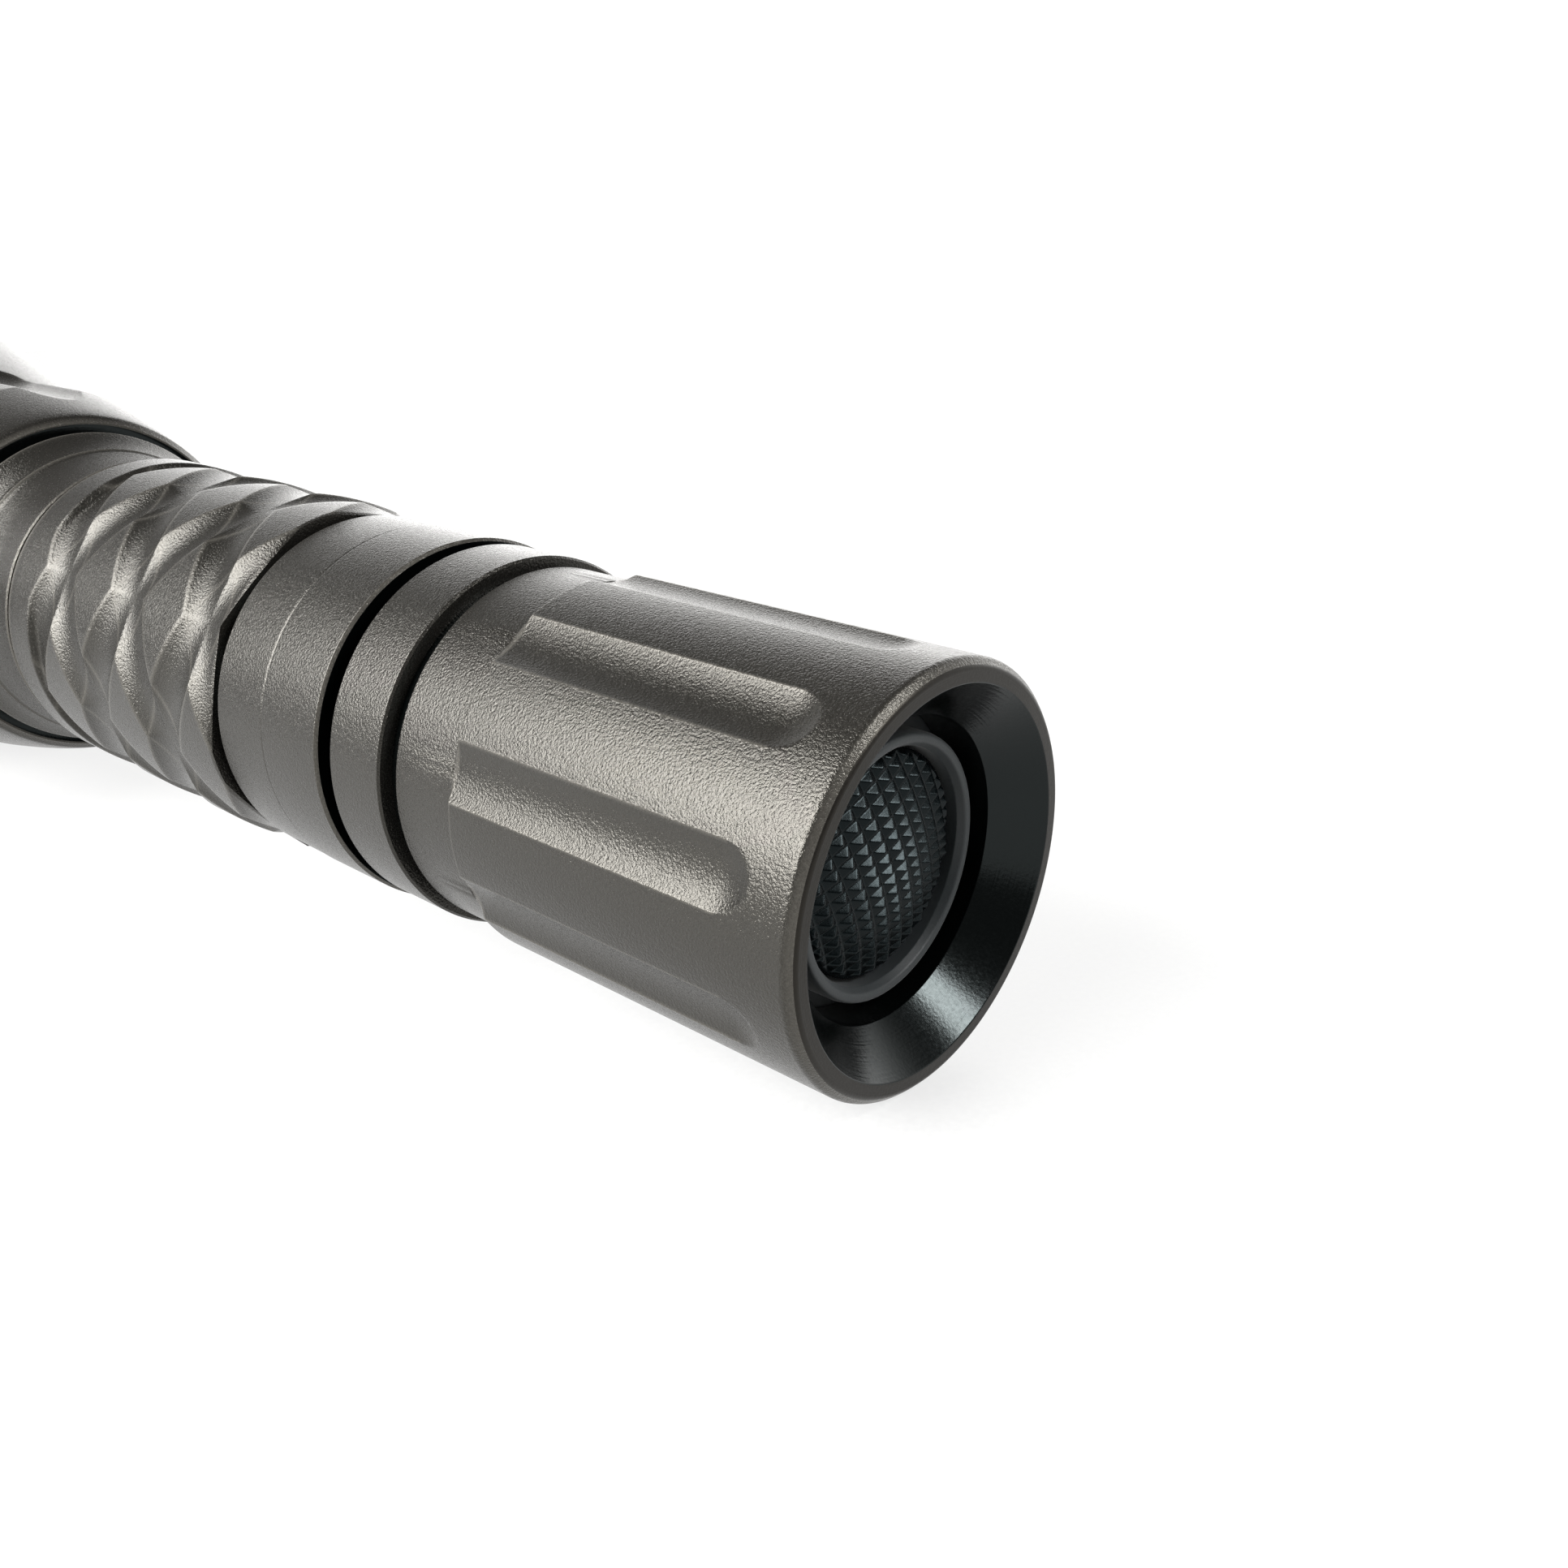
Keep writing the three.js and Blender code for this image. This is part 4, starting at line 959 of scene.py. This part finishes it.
def grip_barrel(context):
    """The barrel: threaded spigots, two plain rings, the cross-cut grip and the flared collar."""
    size = context.scene.torch_sizes
    rear = [
        (BARREL_REAR, BORE_R, 0.15),
        (BARREL_REAR, TAIL_SPIGOT_R - 0.5, 0.1),
        (TAIL_THREAD[0], TAIL_SPIGOT_R, 0.0),
        (TAIL_THREAD[1], TAIL_SPIGOT_R, 0.0),
        (TAIL_THREAD[1] + 0.3, TAIL_SPIGOT_R - 0.5, 0.0),
        (33.7, TAIL_SPIGOT_R - 0.5, 0.0),
        (34.0, TAIL_SPIGOT_R, 0.0),
        *groove(34.6, 36.2, TAIL_SPIGOT_R, 9.62),
        (BAND_REAR, TAIL_SPIGOT_R, 0.0),
        (BAND_REAR, BAND_R - 0.2, 0.0),
        (BAND_REAR + 0.2, BAND_R, 0.08),
        (BAND_STEP - 0.1, BAND_R, 0.0),
        (BAND_STEP, BAND_R, 0.0),
        (BAND_STEP + 0.1, BAND_R - 0.07, 0.0),
        (BAND_STEP + 0.2, BAND_R - 0.04, 0.0),
        (BAND_STEP + 0.35, BAND_R - 0.04, 0.0),
        (BAND_FRONT - BAND_CHAMFER, BAND_R - 0.1, 0.08),
        (BAND_FRONT, BAND_R - 0.1 - BAND_CHAMFER, 0.0),
        (BAND_FRONT, GRIP_GROOVE_R, 0.0),
        (GRIP_REAR, GRIP_GROOVE_R, 0.0),
        (GRIP_REAR, GRIP_R - 0.08, 0.0),
    ]
    front = [
        (GRIP_FRONT, GRIP_R - 0.15, 0.0),
        (GRIP_FRONT, GRIP_GROOVE_R, 0.0),
        (HOLLOW_REAR, GRIP_GROOVE_R, 0.0),
        (HOLLOW_REAR, HOLLOW_R - 0.1, 0.0),
        (HOLLOW_REAR + 0.15, HOLLOW_R, 0.06),
    ]
    dip = np.linspace(HOLLOW_REAR + 0.6, HOLLOW_REAR + 7.1, 14)
    hollow = [(s, HOLLOW_R - 0.4 * math.sin(math.pi * (s - HOLLOW_REAR) / HOLLOW_LENGTH), 0.0) for s in dip]
    crest = [(FLARE_START - 0.1, HOLLOW_R + 0.15, 0.08)]
    flare_s = np.linspace(FLARE_START + 0.2, COLLAR_FRONT - 0.2, 10)
    flare_length = COLLAR_FRONT - FLARE_START
    flare = [(s, 13.0 + 1.25 * ((s - FLARE_START) / flare_length) ** 1.5, 0.0) for s in flare_s]
    ahead = [
        (COLLAR_FRONT, COLLAR_R, 0.05),
        (COLLAR_FRONT, HEAD_SPIGOT_R, 0.0),
        *groove(95.2, 96.8, HEAD_SPIGOT_R, 10.82),
        (97.5, HEAD_SPIGOT_R, 0.0),
        (HEAD_THREAD[1], HEAD_SPIGOT_R, 0.0),
        (BARREL_FRONT, HEAD_SPIGOT_R - 0.4, 0.0),
        (BARREL_FRONT, BORE_R, 0.1),
    ]
    step = size.grip_pitch / MM / (BARREL_COLUMNS // size.grip_starts)
    first = math.ceil((GRIP_REAR + 0.08 - GRIP_FIRST_PAD) / step)
    last = math.floor((GRIP_FRONT - 0.1 - GRIP_FIRST_PAD) / step)
    count = np.arange(first, last + 1)
    stations = GRIP_FIRST_PAD + step * count
    grip = [(s, GRIP_R, 0.0) for s in stations[(stations < GRIP_CUTS_END + 0.3) | (count % 4 == 0)]]
    whole = filleted(rear + grip + front + hollow + crest + flare + ahead)
    whole = refined(whole, TAIL_THREAD[0] - 0.05, TAIL_THREAD[1] + 0.1, 0.11, TAIL_SPIGOT_R - 0.1)
    whole = refined(whole, HEAD_THREAD[0] - 0.05, HEAD_THREAD[1], 0.12, HEAD_SPIGOT_R - 0.1)

    def relief(s, phi):
        """The grip's cuts and the two threads; nowhere do they meet."""
        threads = sum(thread_depth(s, phi, *span) for span in (TAIL_THREAD, HEAD_THREAD))
        return grip_depth(s, phi) + threads

    def worn(s, phi):
        """1 along the turned edges, and a little less along the pads' edges."""
        ends = [BAND_REAR + 0.1, BAND_FRONT - 0.05, GRIP_FRONT, HOLLOW_REAR + 0.1, FLARE_START - 0.1]
        rings = sum(np.clip(1 - np.abs(s - e) / 0.18, 0, 1) for e in (*ends, COLLAR_FRONT - 0.05))
        return np.clip(rings + 0.7 * grip_wear(s, phi), 0, 1)

    return turned(
        "cross_cut_barrel",
        whole,
        [FINISHES["anodised"], FINISHES["turned"]],
        columns=GRIP_TURN + np.linspace(0, TURN, BARREL_COLUMNS, endpoint=False),
        relief=relief,
        above=TAIL_SPIGOT_R - 0.01,
        worn=worn,
        split=(GRIP_REAR, GRIP_CUTS_END + 0.2),
        # rows below GROOVE_R take the near-black turned finish: painted shade in the grooves
        choose=lambda s, r: 1 if r < GROOVE_R else 0,
    )


class TORCH_OT_barrel(bpy.types.Operator):
    """Barrel with its cross-cut grip, cut from one bar"""

    bl_idname = "torch.barrel"
    bl_label = "Barrel"

    def execute(self, context):
        finish(grip_barrel(context), "body", ["barrel"], "anodised_body")
        return {"FINISHED"}


def head_radius(s):
    """Outer radius of the head: a tapered shoulder, share^0.8 of the way up, a straight neck, then a cone."""
    share = np.clip((s - SHOULDER_REAR) / (NECK_REAR - SHOULDER_REAR), 0, 1)
    shoulder = SHOULDER_R + (HEAD_R - SHOULDER_R) * share**0.8
    return shoulder + np.clip(s - FLARE_REAR, 0, None) * (BEZEL_R - HEAD_R) / (BEZEL_STEP - FLARE_REAR)


def scalloped_head(context):
    """The head shell: chamfered mouth, tapered shoulder, fluted neck, flare and the spigot under the bezel.

    Each flute is cut straight along the neck by a ball-nosed cutter, so it fades out on the shoulder and ends
    in a round wall in the flare. The wall of a column is the lesser of the body's radius and the cutter's.
    """
    size = context.scene.torch_sizes
    width, depth = size.head_flute_width / MM, size.head_flute_depth / MM
    turn = size.head_flute_turn
    flute_end = FLARE_REAR + 1.6
    stations = np.concatenate(
        [
            np.linspace(SHOULDER_REAR + 0.1, 98.8, 14),
            np.arange(98.9, NECK_REAR + 0.6, HEAD_ROW_STEP),
            np.linspace(NECK_REAR + 0.8, 112.0, 8),
            np.arange(112.2, flute_end + 4.4, HEAD_ROW_STEP),
            np.linspace(flute_end + 4.6, BEZEL_STEP - 0.4, 8),
        ]
    )
    outside = [(s, float(head_radius(s)), 0.0) for s in stations]
    corners = [
        (HEAD_REAR, MOUTH_R, 0.0),
        (HEAD_REAR, 14.95, 0.06),
        (SHOULDER_REAR - 0.02, SHOULDER_R - 0.03, 0.06),
        *outside,
        (BEZEL_STEP - 0.15, BEZEL_R - 0.05, 0.0),
        (BEZEL_STEP, BEZEL_R - 0.2, 0.0),
        (BEZEL_STEP, BEZEL_SPIGOT_R, 0.0),
        *groove(150.95, 152.25, BEZEL_SPIGOT_R, 23.17, 0.06),
        (HEAD_FRONT, BEZEL_SPIGOT_R, 0.1),
        (HEAD_FRONT, 22.7, 0.1),
        (FLARE_REAR, 14.7, 0.0),
        (112.0, 14.7, 0.0),
        (112.0, 13.5, 0.0),
        (102.3, 13.5, 0.0),
        (102.3, 12.2, 0.0),
        (HEAD_REAR + MOUTH_DEPTH, 12.2, 0.0),
        (HEAD_REAR + MOUTH_DEPTH, MOUTH_R, 0.0),
    ]
    half = math.asin(width / 2 / HEAD_R)
    columns = flute_columns(size.head_flutes, turn, half * 1.28, HEAD_COLUMNS_INSIDE, HEAD_COLUMNS_LAND)
    rear = SHOULDER_REAR

    def cut(s, phi):
        """How far the cutter goes below the head's skin at this station."""
        body = head_radius(s)
        below = flute_wall(s, phi, HEAD_R, size.head_flutes, width, depth, turn, rear, flute_end)
        skin = (s > rear + 0.05) & (s < BEZEL_STEP - 0.3)
        return np.where(skin, np.maximum(body - below, 0), 0)

    def worn(s, phi):
        """1 along the head's rear and front edges."""
        return sum(np.clip(1 - np.abs(s - e) / 0.2, 0, 1) for e in (HEAD_REAR + 0.1, BEZEL_STEP - 0.2))

    return turned(
        "scalloped_head",
        filleted(corners, steps=6),
        [FINISHES["anodised"], FINISHES["turned"]],
        columns=columns,
        relief=cut,
        above=15.2,
        worn=worn,
        # the mouth and the inside take the near-black turned finish: painted shade in the mouth's recess
        choose=lambda s, r: 1 if r < MOUTH_R + 0.02 else 0,
    )


class TORCH_OT_head(bpy.types.Operator):
    """Head shell, turned and scalloped"""

    bl_idname = "torch.head"
    bl_label = "Head"

    def execute(self, context):
        finish(scalloped_head(context), "head", ["head_shell"], "anodised_body")
        return {"FINISHED"}


class TORCH_OT_bezel(bpy.types.Operator):
    """Bezel ring and lens"""

    bl_idname = "torch.bezel"
    bl_label = "Bezel And Lens"

    def execute(self, context):
        bezel = [
            (BEZEL_REAR, BEZEL_SPIGOT_R + 0.2, 0.05),
            (BEZEL_REAR, BEZEL_R - 0.25, 0.0),
            (BEZEL_REAR + 0.25, BEZEL_R, 0.1),
            (BEZEL_FRONT - 0.5, BEZEL_R, 0.15),
            (BEZEL_FRONT, BEZEL_R - 0.5, 0.12),
            (BEZEL_FRONT, LENS_VIEW_R + 0.3, 0.12),
            (BEZEL_FRONT - 0.3, LENS_VIEW_R, 0.08),
            (BEZEL_FRONT - 1.0, LENS_VIEW_R, 0.0),
            (BEZEL_FRONT - 1.0, BEZEL_SPIGOT_R + 0.2, 0.0),
        ]

        def worn(s, phi):
            """1 along the bezel's two outer edges."""
            ends = (BEZEL_REAR + 0.15, BEZEL_FRONT - 0.2)
            return sum(np.clip(1 - np.abs(s - e) / 0.25, 0, 1) for e in ends)

        ring = turned("bezel", filleted(bezel), [FINISHES["anodised"]], 240, above=BEZEL_SPIGOT_R, worn=worn)
        finish(ring, "head", ["bezel_ring"], "anodised_body")
        window = disc("lens", 0.2)
        turned_piece("front_lens", window, "glass", 160, "head", "lens", "lens_glass", closed=False)
        return {"FINISHED"}


def reflector_cup():
    """The reflector: inside, s rises as r squared from hole to rim; outside, the same curve one wall out."""
    rear, front, flange_r = extent("reflector")
    hole, rim = REFLECTOR_HOLE_R, REFLECTOR_RIM_R
    lip_r = flange_r - 1.5

    def bowl(r):
        """Station of the bowl at radius r."""
        return rear + 0.4 + (front - rear - 0.4) * (r * r - hole * hole) / (rim * rim - hole * hole)

    inside = np.linspace(hole, rim - 0.05, 72)
    back = np.linspace(REFLECTOR_FOOT_R, rim - 0.8, 32)[::-1]
    corners = [
        (rear, hole, 0.0),
        *[(s, r, 0.0) for s, r in zip(bowl(inside), inside)],
        (front, rim + 0.1, 0.0),
        (front, flange_r, 0.08),
        (front - 0.7, flange_r, 0.08),
        (front - 0.7, lip_r, 0.0),
        (front - 1.8, lip_r, 0.0),
        *[(s, r + REFLECTOR_WALL, 0.0) for s, r in zip(bowl(back), back)],
        (rear, REFLECTOR_FOOT_R, 0.1),
    ]
    return turned("reflector_cup", filleted(corners), [FINISHES["mirror"]], 192)


def led_block():
    """The LED's ceramic base with its phosphor square, as a stepped block: half widths shrink with height.

    Its outline is a square with rounded corners, the superellipse radius (|cos|^n + |sin|^n)^(-1/n).
    """
    rear, top, half_width = extent("led_package")
    sections = np.array(
        [
            (rear, half_width),
            (top - 0.12, half_width),
            (top - 0.05, 1.69),
            (top - 0.05, 1.05),
            (top, 1.02),
        ]
    )
    count, power = 56, 14
    angle = np.linspace(0, TURN, count, endpoint=False) + math.pi / 4
    outline = (np.abs(np.cos(angle)) ** power + np.abs(np.sin(angle)) ** power) ** (-1 / power)
    points = place(sections[:, :1], sections[:, 1:] * outline, angle[None, :]).reshape(-1, 3)
    points = np.concatenate([points, place(np.array([rear, top]), np.zeros(2), np.zeros(2))])
    faces = [grid_faces(len(sections), count, False).reshape(-1, 4), *lids(len(sections), count)]
    chosen = np.repeat(np.array([0, 0, 0, 1, 0, 1]), count)  # the last two are the rear and the front lid
    return add_piece("led_block", points, faces, [FINISHES["ceramic"], FINISHES["phosphor"]], chosen)


def led_dome():
    """Corners of the silicone dome over the LED: a quarter circle from its pole to its foot."""
    foot, _, radius = extent("led_dome")
    angle = np.linspace(0, math.pi / 2, 14)[:-1]
    arc = [(foot + radius * math.sin(a), radius * math.cos(a), 0.0) for a in angle]
    return [(foot, 0.0, 0.0), *arc, (foot + radius, 0.0, 0.0)]


def heat_sink():
    """Corners of the pill: a thick disc that carries the LED, with a skirt round the driver."""
    rear, front, outer = extent("heat_sink")
    skirt_r, floor = 9.9, 107.0
    return [
        (floor, 0.0, 0.0),
        (floor, skirt_r, 0.0),
        (rear, skirt_r, 0.1),
        (rear, outer, 0.2),
        (front, outer, 0.2),
        (front, 0.0, 0.0),
    ]


class TORCH_OT_engine(bpy.types.Operator):
    """Reflector, LED, boards, gasket and heat sink"""

    bl_idname = "torch.engine"
    bl_label = "Light Engine"

    def execute(self, context):
        finish(reflector_cup(), "head", ["reflector"], "mirror_coat")
        finish(led_block(), "head", ["led_package"], "led_ceramic")
        gasket = washer("led_gasket", 2.7, 0.1, 0.15)
        for name, corners, key, columns, cad_node, slot in (
            ("led_lens", led_dome(), "silicone", 64, "led_dome", "led_silicone"),
            ("star_board", disc("led_board", 0.05), "white", 128, "led_board", "white_board"),
            ("centring_gasket", gasket, "plastic", 96, "led_gasket", "black_plastic"),
            ("driver_disc", disc("driver_board", 0.05), "green", 128, "driver_board", "green_board"),
            ("heat_sink_pill", heat_sink(), "bare", 160, "heat_sink", "bare_aluminium"),
        ):
            turned_piece(name, corners, key, columns, "head", cad_node, slot, closed=corners is gasket)
        return {"FINISHED"}


def cell(name, cad_node):
    """A cell: crimped can, sleeve and raised terminal."""
    rear, tip, outer = extent(cad_node)
    front = tip - CELL_TERMINAL
    corners = [
        (rear, 0.0, 0.0),
        (rear, outer - 1.8, 0.1),
        (rear + 0.15, outer - 1.5, 0.1),
        (rear + 0.15, outer - 0.5, 0.25),
        (rear + 0.5, outer, 0.3),
        (front - 0.5, outer, 0.35),
        (front - 0.05, outer - 0.8, 0.2),
        (front - 0.25, outer - 1.8, 0.15),
        (front - 0.1, 3.4, 0.15),
        (front, 3.2, 0.1),
        (tip, 3.15, 0.3),
        (tip, 0.0, 0.0),
    ]
    sleeve_r = outer - 1.4
    return turned(
        name,
        filleted(corners),
        [FINISHES["nickel"], FINISHES["wrap"]],
        128,
        closed=False,
        choose=lambda s, r: 1 if r > sleeve_r else 0,
    )


class TORCH_OT_cells(bpy.types.Operator):
    """Two lithium cells in a row"""

    bl_idname = "torch.cells"
    bl_label = "Cells"

    def execute(self, context):
        for name, cad_node in (("cell_behind", "rear_cell"), ("cell_ahead", "front_cell")):
            finish(cell(name, cad_node), "body", [cad_node], "cell_wrap")
        return {"FINISHED"}


def coil(name, rear, front, rear_r, front_r, turns):
    """A coil spring: a circle of wire carried along a helix whose radius changes evenly.

    A tenth of the station's rise is even over the whole length and the rest is left to the live coils between
    the end coils, so the end coils are nearly closed. Each wire end is a flat disc.
    """
    count = int(turns * COIL_STEPS) + 1
    t = np.linspace(0, turns, count)
    climb = np.clip((t - COIL_DEAD_TURNS) / (turns - 2 * COIL_DEAD_TURNS), 0, 1)
    climb = climb * climb * (3 - 2 * climb) * 0.35 + climb * 0.65
    low, high = rear + COIL_WIRE_R, front - COIL_WIRE_R
    station = low + (high - low) * (0.9 * climb + 0.1 * t / turns)
    radius = rear_r + (front_r - rear_r) * t / turns
    angle = TURN * t
    path = place(station, radius, angle)
    tangent = np.gradient(path, axis=0)
    tangent /= np.linalg.norm(tangent, axis=1, keepdims=True)
    out = place(station, radius + 1, angle) - path
    out /= np.linalg.norm(out, axis=1, keepdims=True)
    side = np.cross(tangent, out)
    side /= np.linalg.norm(side, axis=1, keepdims=True)
    out = np.cross(side, tangent)
    around = np.linspace(0, TURN, COIL_SIDES, endpoint=False)
    ring = np.cos(around)[None, :, None] * out[:, None, :] + np.sin(around)[None, :, None] * side[:, None, :]
    points = (path[:, None, :] + ring * COIL_WIRE_R * MM).reshape(-1, 3)
    points = np.concatenate([points, path[:1], path[-1:]])
    faces = [grid_faces(count, COIL_SIDES, False).reshape(-1, 4), *lids(count, COIL_SIDES)]
    return add_piece(name, points, faces, [FINISHES["spring"]], sharp=math.radians(60))


class TORCH_OT_springs(bpy.types.Operator):
    """Contact springs behind and ahead of the cells"""

    bl_idname = "torch.springs"
    bl_label = "Springs"

    def execute(self, context):
        behind = coil("tail_coil", 20.2, 28.9, rear_r=4.58, front_r=3.0, turns=4.5)
        finish(behind, "tail_contact", ["tail_spring"], "spring_steel")
        ahead = coil("driver_coil", 98.2, 103.1, rear_r=2.4, front_r=3.6, turns=3.5)
        finish(ahead, "head_contact", ["driver_spring"], "spring_steel")
        return {"FINISHED"}


def o_ring(name, s, middle, wire):
    """A seal: a circle of wire radius carried round the axis at the middle radius."""
    angle = np.linspace(0, TURN, 20, endpoint=False)
    profile = np.stack([s + wire * np.cos(angle), middle + wire * np.sin(angle)], axis=-1)
    return turned(name, profile, [FINISHES["seal"]], 144)


class TORCH_OT_seals(bpy.types.Operator):
    """O-rings of cap, head, bezel and lens"""

    bl_idname = "torch.seals"
    bl_label = "Seals"

    def execute(self, context):
        for name, station, middle_r, wire_r, body, cad_node in (
            ("tail_o_ring", 35.4, 10.22, 0.52, "body", "tail_seal"),
            ("head_o_ring", 96.0, 11.42, 0.52, "body", "head_seal"),
            ("bezel_o_ring", 151.6, 23.67, 0.39, "head", "bezel_seal"),
            ("lens_o_ring", 158.5, 23.3, 0.35, "head", "lens_seal"),
        ):
            finish(o_ring(name, station, middle_r, wire_r), body, [cad_node], "seal_rubber")
        return {"FINISHED"}


# ---------------------------------------------------------------- stage

FLOOR_GLOW = 0.73  # light that comes up through the table
FLOOR_REST_HEAD = (BEZEL_REAR + 0.25, BEZEL_R)  # s and r of the bezel's rear edge, which rests on the table
FLOOR_REST_TAIL = (0.4, CAP_R)  # s and r of the tail's rim, which rests on the table
FLOOR_HALF = 3.0
FLOOR_GAP = 0.00002
KEY_WAY, KEY_REACH, KEY_SIZE = (-0.40, -0.75, 0.53), 0.8, 0.62
GLINT_WAY, GLINT_REACH, GLINT_SIZE = (0.65, 0.27, 0.71), 0.5, 0.15
CAMERA_FROM_TAIL = (0.03752, -0.05710, 0.03464)
CAMERA_AHEAD = (-0.59599, 0.70225, -0.38940)
CAMERA_RIGHT = (0.76243, 0.64707, 0.0)
CAMERA_SENSOR = 36.0


def floor_plane():
    """A wide level sheet tilted so that the torch rests on its head and on its tail's rim."""
    (x0, z0), (x1, z1) = ((TAIL_X - s * MM, AXIS_Z - r * MM) for s, r in (FLOOR_REST_HEAD, FLOOR_REST_TAIL))
    slope = (z1 - z0) / (x1 - x0)
    x = FLOOR_HALF * np.array([-1, 1, 1, -1])
    y = FLOOR_HALF * np.array([-1, -1, 1, 1])
    points = np.stack([x, y, z0 + slope * (x - x0) - FLOOR_GAP], axis=-1)
    mesh = bpy.data.meshes.new("table_top")
    mesh.from_pydata(points.tolist(), [], [(0, 1, 2, 3)])
    floor = bpy.data.objects.new("table_top", mesh)
    bpy.context.scene.collection.objects.link(floor)
    finish_floor = grained("Opal_acrylic_light_table", colours().floor, 0.6, 0.4, 0.004)
    shader = finish_floor.node_tree.nodes["Principled BSDF"]
    shader.inputs["Emission Color"].default_value = (1, 1, 1, 1)
    shader.inputs["Emission Strength"].default_value = FLOOR_GLOW
    mesh.materials.append(finish_floor)
    return floor


def lamp(name, spot, aim, size, power):
    """A soft square lamp at spot, facing aim."""
    light = bpy.data.lights.new(name, "AREA")
    light.shape = "SQUARE"
    light.size = size
    light.energy = power
    made = bpy.data.objects.new(name, light)
    made.location = spot
    made.rotation_mode = "QUATERNION"
    made.rotation_quaternion = (aim - spot).to_track_quat("-Z", "Y")
    bpy.context.scene.collection.objects.link(made)


def studio_room(stage):
    """A plain room: a bright wall behind the torch, a dimmer one behind the camera and a dim ceiling."""
    world = bpy.data.worlds.new("Studio_room")
    world.use_nodes = True
    tree = world.node_tree
    back = tree.nodes["Background"]
    direction = node(tree, "ShaderNodeTexCoord").outputs["Generated"]
    way = node(tree, "ShaderNodeSeparateXYZ", {"Vector": direction})
    smooth = {"interpolation_type": "SMOOTHSTEP"}
    fore_and_aft = mapped(way.outputs["Y"], 0.0, 0.7, stage.wall_ahead, stage.wall_behind)
    wall = node(tree, "ShaderNodeMapRange", fore_and_aft, **smooth).outputs[0]
    sideways = mapped(way.outputs["X"], -0.3, 0.5, 1.0, stage.wall_beside)
    beside = node(tree, "ShaderNodeMapRange", sideways, **smooth).outputs[0]
    wall = node(tree, "ShaderNodeMath", {0: wall, 1: beside}, operation="MULTIPLY").outputs[0]
    upwards = mapped(way.outputs["Z"], 0.22, 0.64, wall, stage.ceiling)
    level = node(tree, "ShaderNodeMapRange", upwards, **smooth).outputs[0]
    tree.links.new(level, back.inputs["Strength"])
    back.inputs["Color"].default_value = (1.0, 0.995, 0.985, 1)
    bpy.context.scene.world = world


def torch_camera(stage, tail):
    """The camera beside the tail, aimed along its own ahead and right directions."""
    camera = bpy.data.cameras.new("torch_camera")
    camera.lens = stage.lens
    camera.sensor_width = CAMERA_SENSOR
    camera.clip_start = 0.001
    made = bpy.data.objects.new("torch_camera", camera)
    ahead, right = Vector(CAMERA_AHEAD).normalized(), Vector(CAMERA_RIGHT).normalized()
    made.rotation_mode = "QUATERNION"
    made.rotation_quaternion = Matrix((right, right.cross(ahead), -ahead)).transposed().to_quaternion()
    made.location = tail + Vector(CAMERA_FROM_TAIL)
    bpy.context.scene.collection.objects.link(made)
    bpy.context.scene.camera = made


class TORCH_OT_stage(bpy.types.Operator):
    """Floor, room, lamps and camera"""

    bl_idname = "torch.stage"
    bl_label = "Stage"

    def execute(self, context):
        stage = context.scene.torch_stage
        floor_plane()
        studio_room(stage)
        tail = Vector((TAIL_X, 0, AXIS_Z))
        lamp("key_lamp", tail + Vector(KEY_WAY) * KEY_REACH, tail, KEY_SIZE, stage.key_power)
        lamp("glint_lamp", tail + Vector(GLINT_WAY) * GLINT_REACH, tail, GLINT_SIZE, stage.glint_power)
        torch_camera(stage, tail)
        context.scene.view_settings.view_transform = "Standard"
        return {"FINISHED"}


# ---------------------------------------------------------------- add-on


class TORCH_PT_panel(bpy.types.Panel):
    """Sizes, colours and the steps that build the torch"""

    bl_idname = "TORCH_PT_panel"
    bl_label = "Hand Torch"
    bl_space_type = "VIEW_3D"
    bl_region_type = "UI"
    bl_category = "Torch"

    def draw(self, context):
        layout = self.layout
        for group in (context.scene.torch_sizes, context.scene.torch_colours, context.scene.torch_stage):
            box = layout.box()
            for key in group.__annotations__:
                box.prop(group, key)
        for operator in OPERATORS:
            layout.operator(operator.bl_idname)


GROUPS = (TorchSizes, TorchColours, TorchStage)
OPERATORS = (
    TORCH_OT_tail_cap,
    TORCH_OT_button,
    TORCH_OT_switch,
    TORCH_OT_barrel,
    TORCH_OT_head,
    TORCH_OT_bezel,
    TORCH_OT_engine,
    TORCH_OT_cells,
    TORCH_OT_springs,
    TORCH_OT_seals,
    TORCH_OT_stage,
)


def register():
    for made in (*GROUPS, *OPERATORS, TORCH_PT_panel):
        bpy.utils.register_class(made)
    bpy.types.Scene.torch_sizes = bpy.props.PointerProperty(type=TorchSizes)
    bpy.types.Scene.torch_colours = bpy.props.PointerProperty(type=TorchColours)
    bpy.types.Scene.torch_stage = bpy.props.PointerProperty(type=TorchStage)


def unregister():
    del bpy.types.Scene.torch_sizes, bpy.types.Scene.torch_colours, bpy.types.Scene.torch_stage
    for made in reversed((*GROUPS, *OPERATORS, TORCH_PT_panel)):
        bpy.utils.unregister_class(made)


def main():
    register()
    make_finishes()
    for operator in OPERATORS:
        group, name = operator.bl_idname.split(".")
        getattr(getattr(bpy.ops, group), name)()


if __name__ == "__main__":
    main()
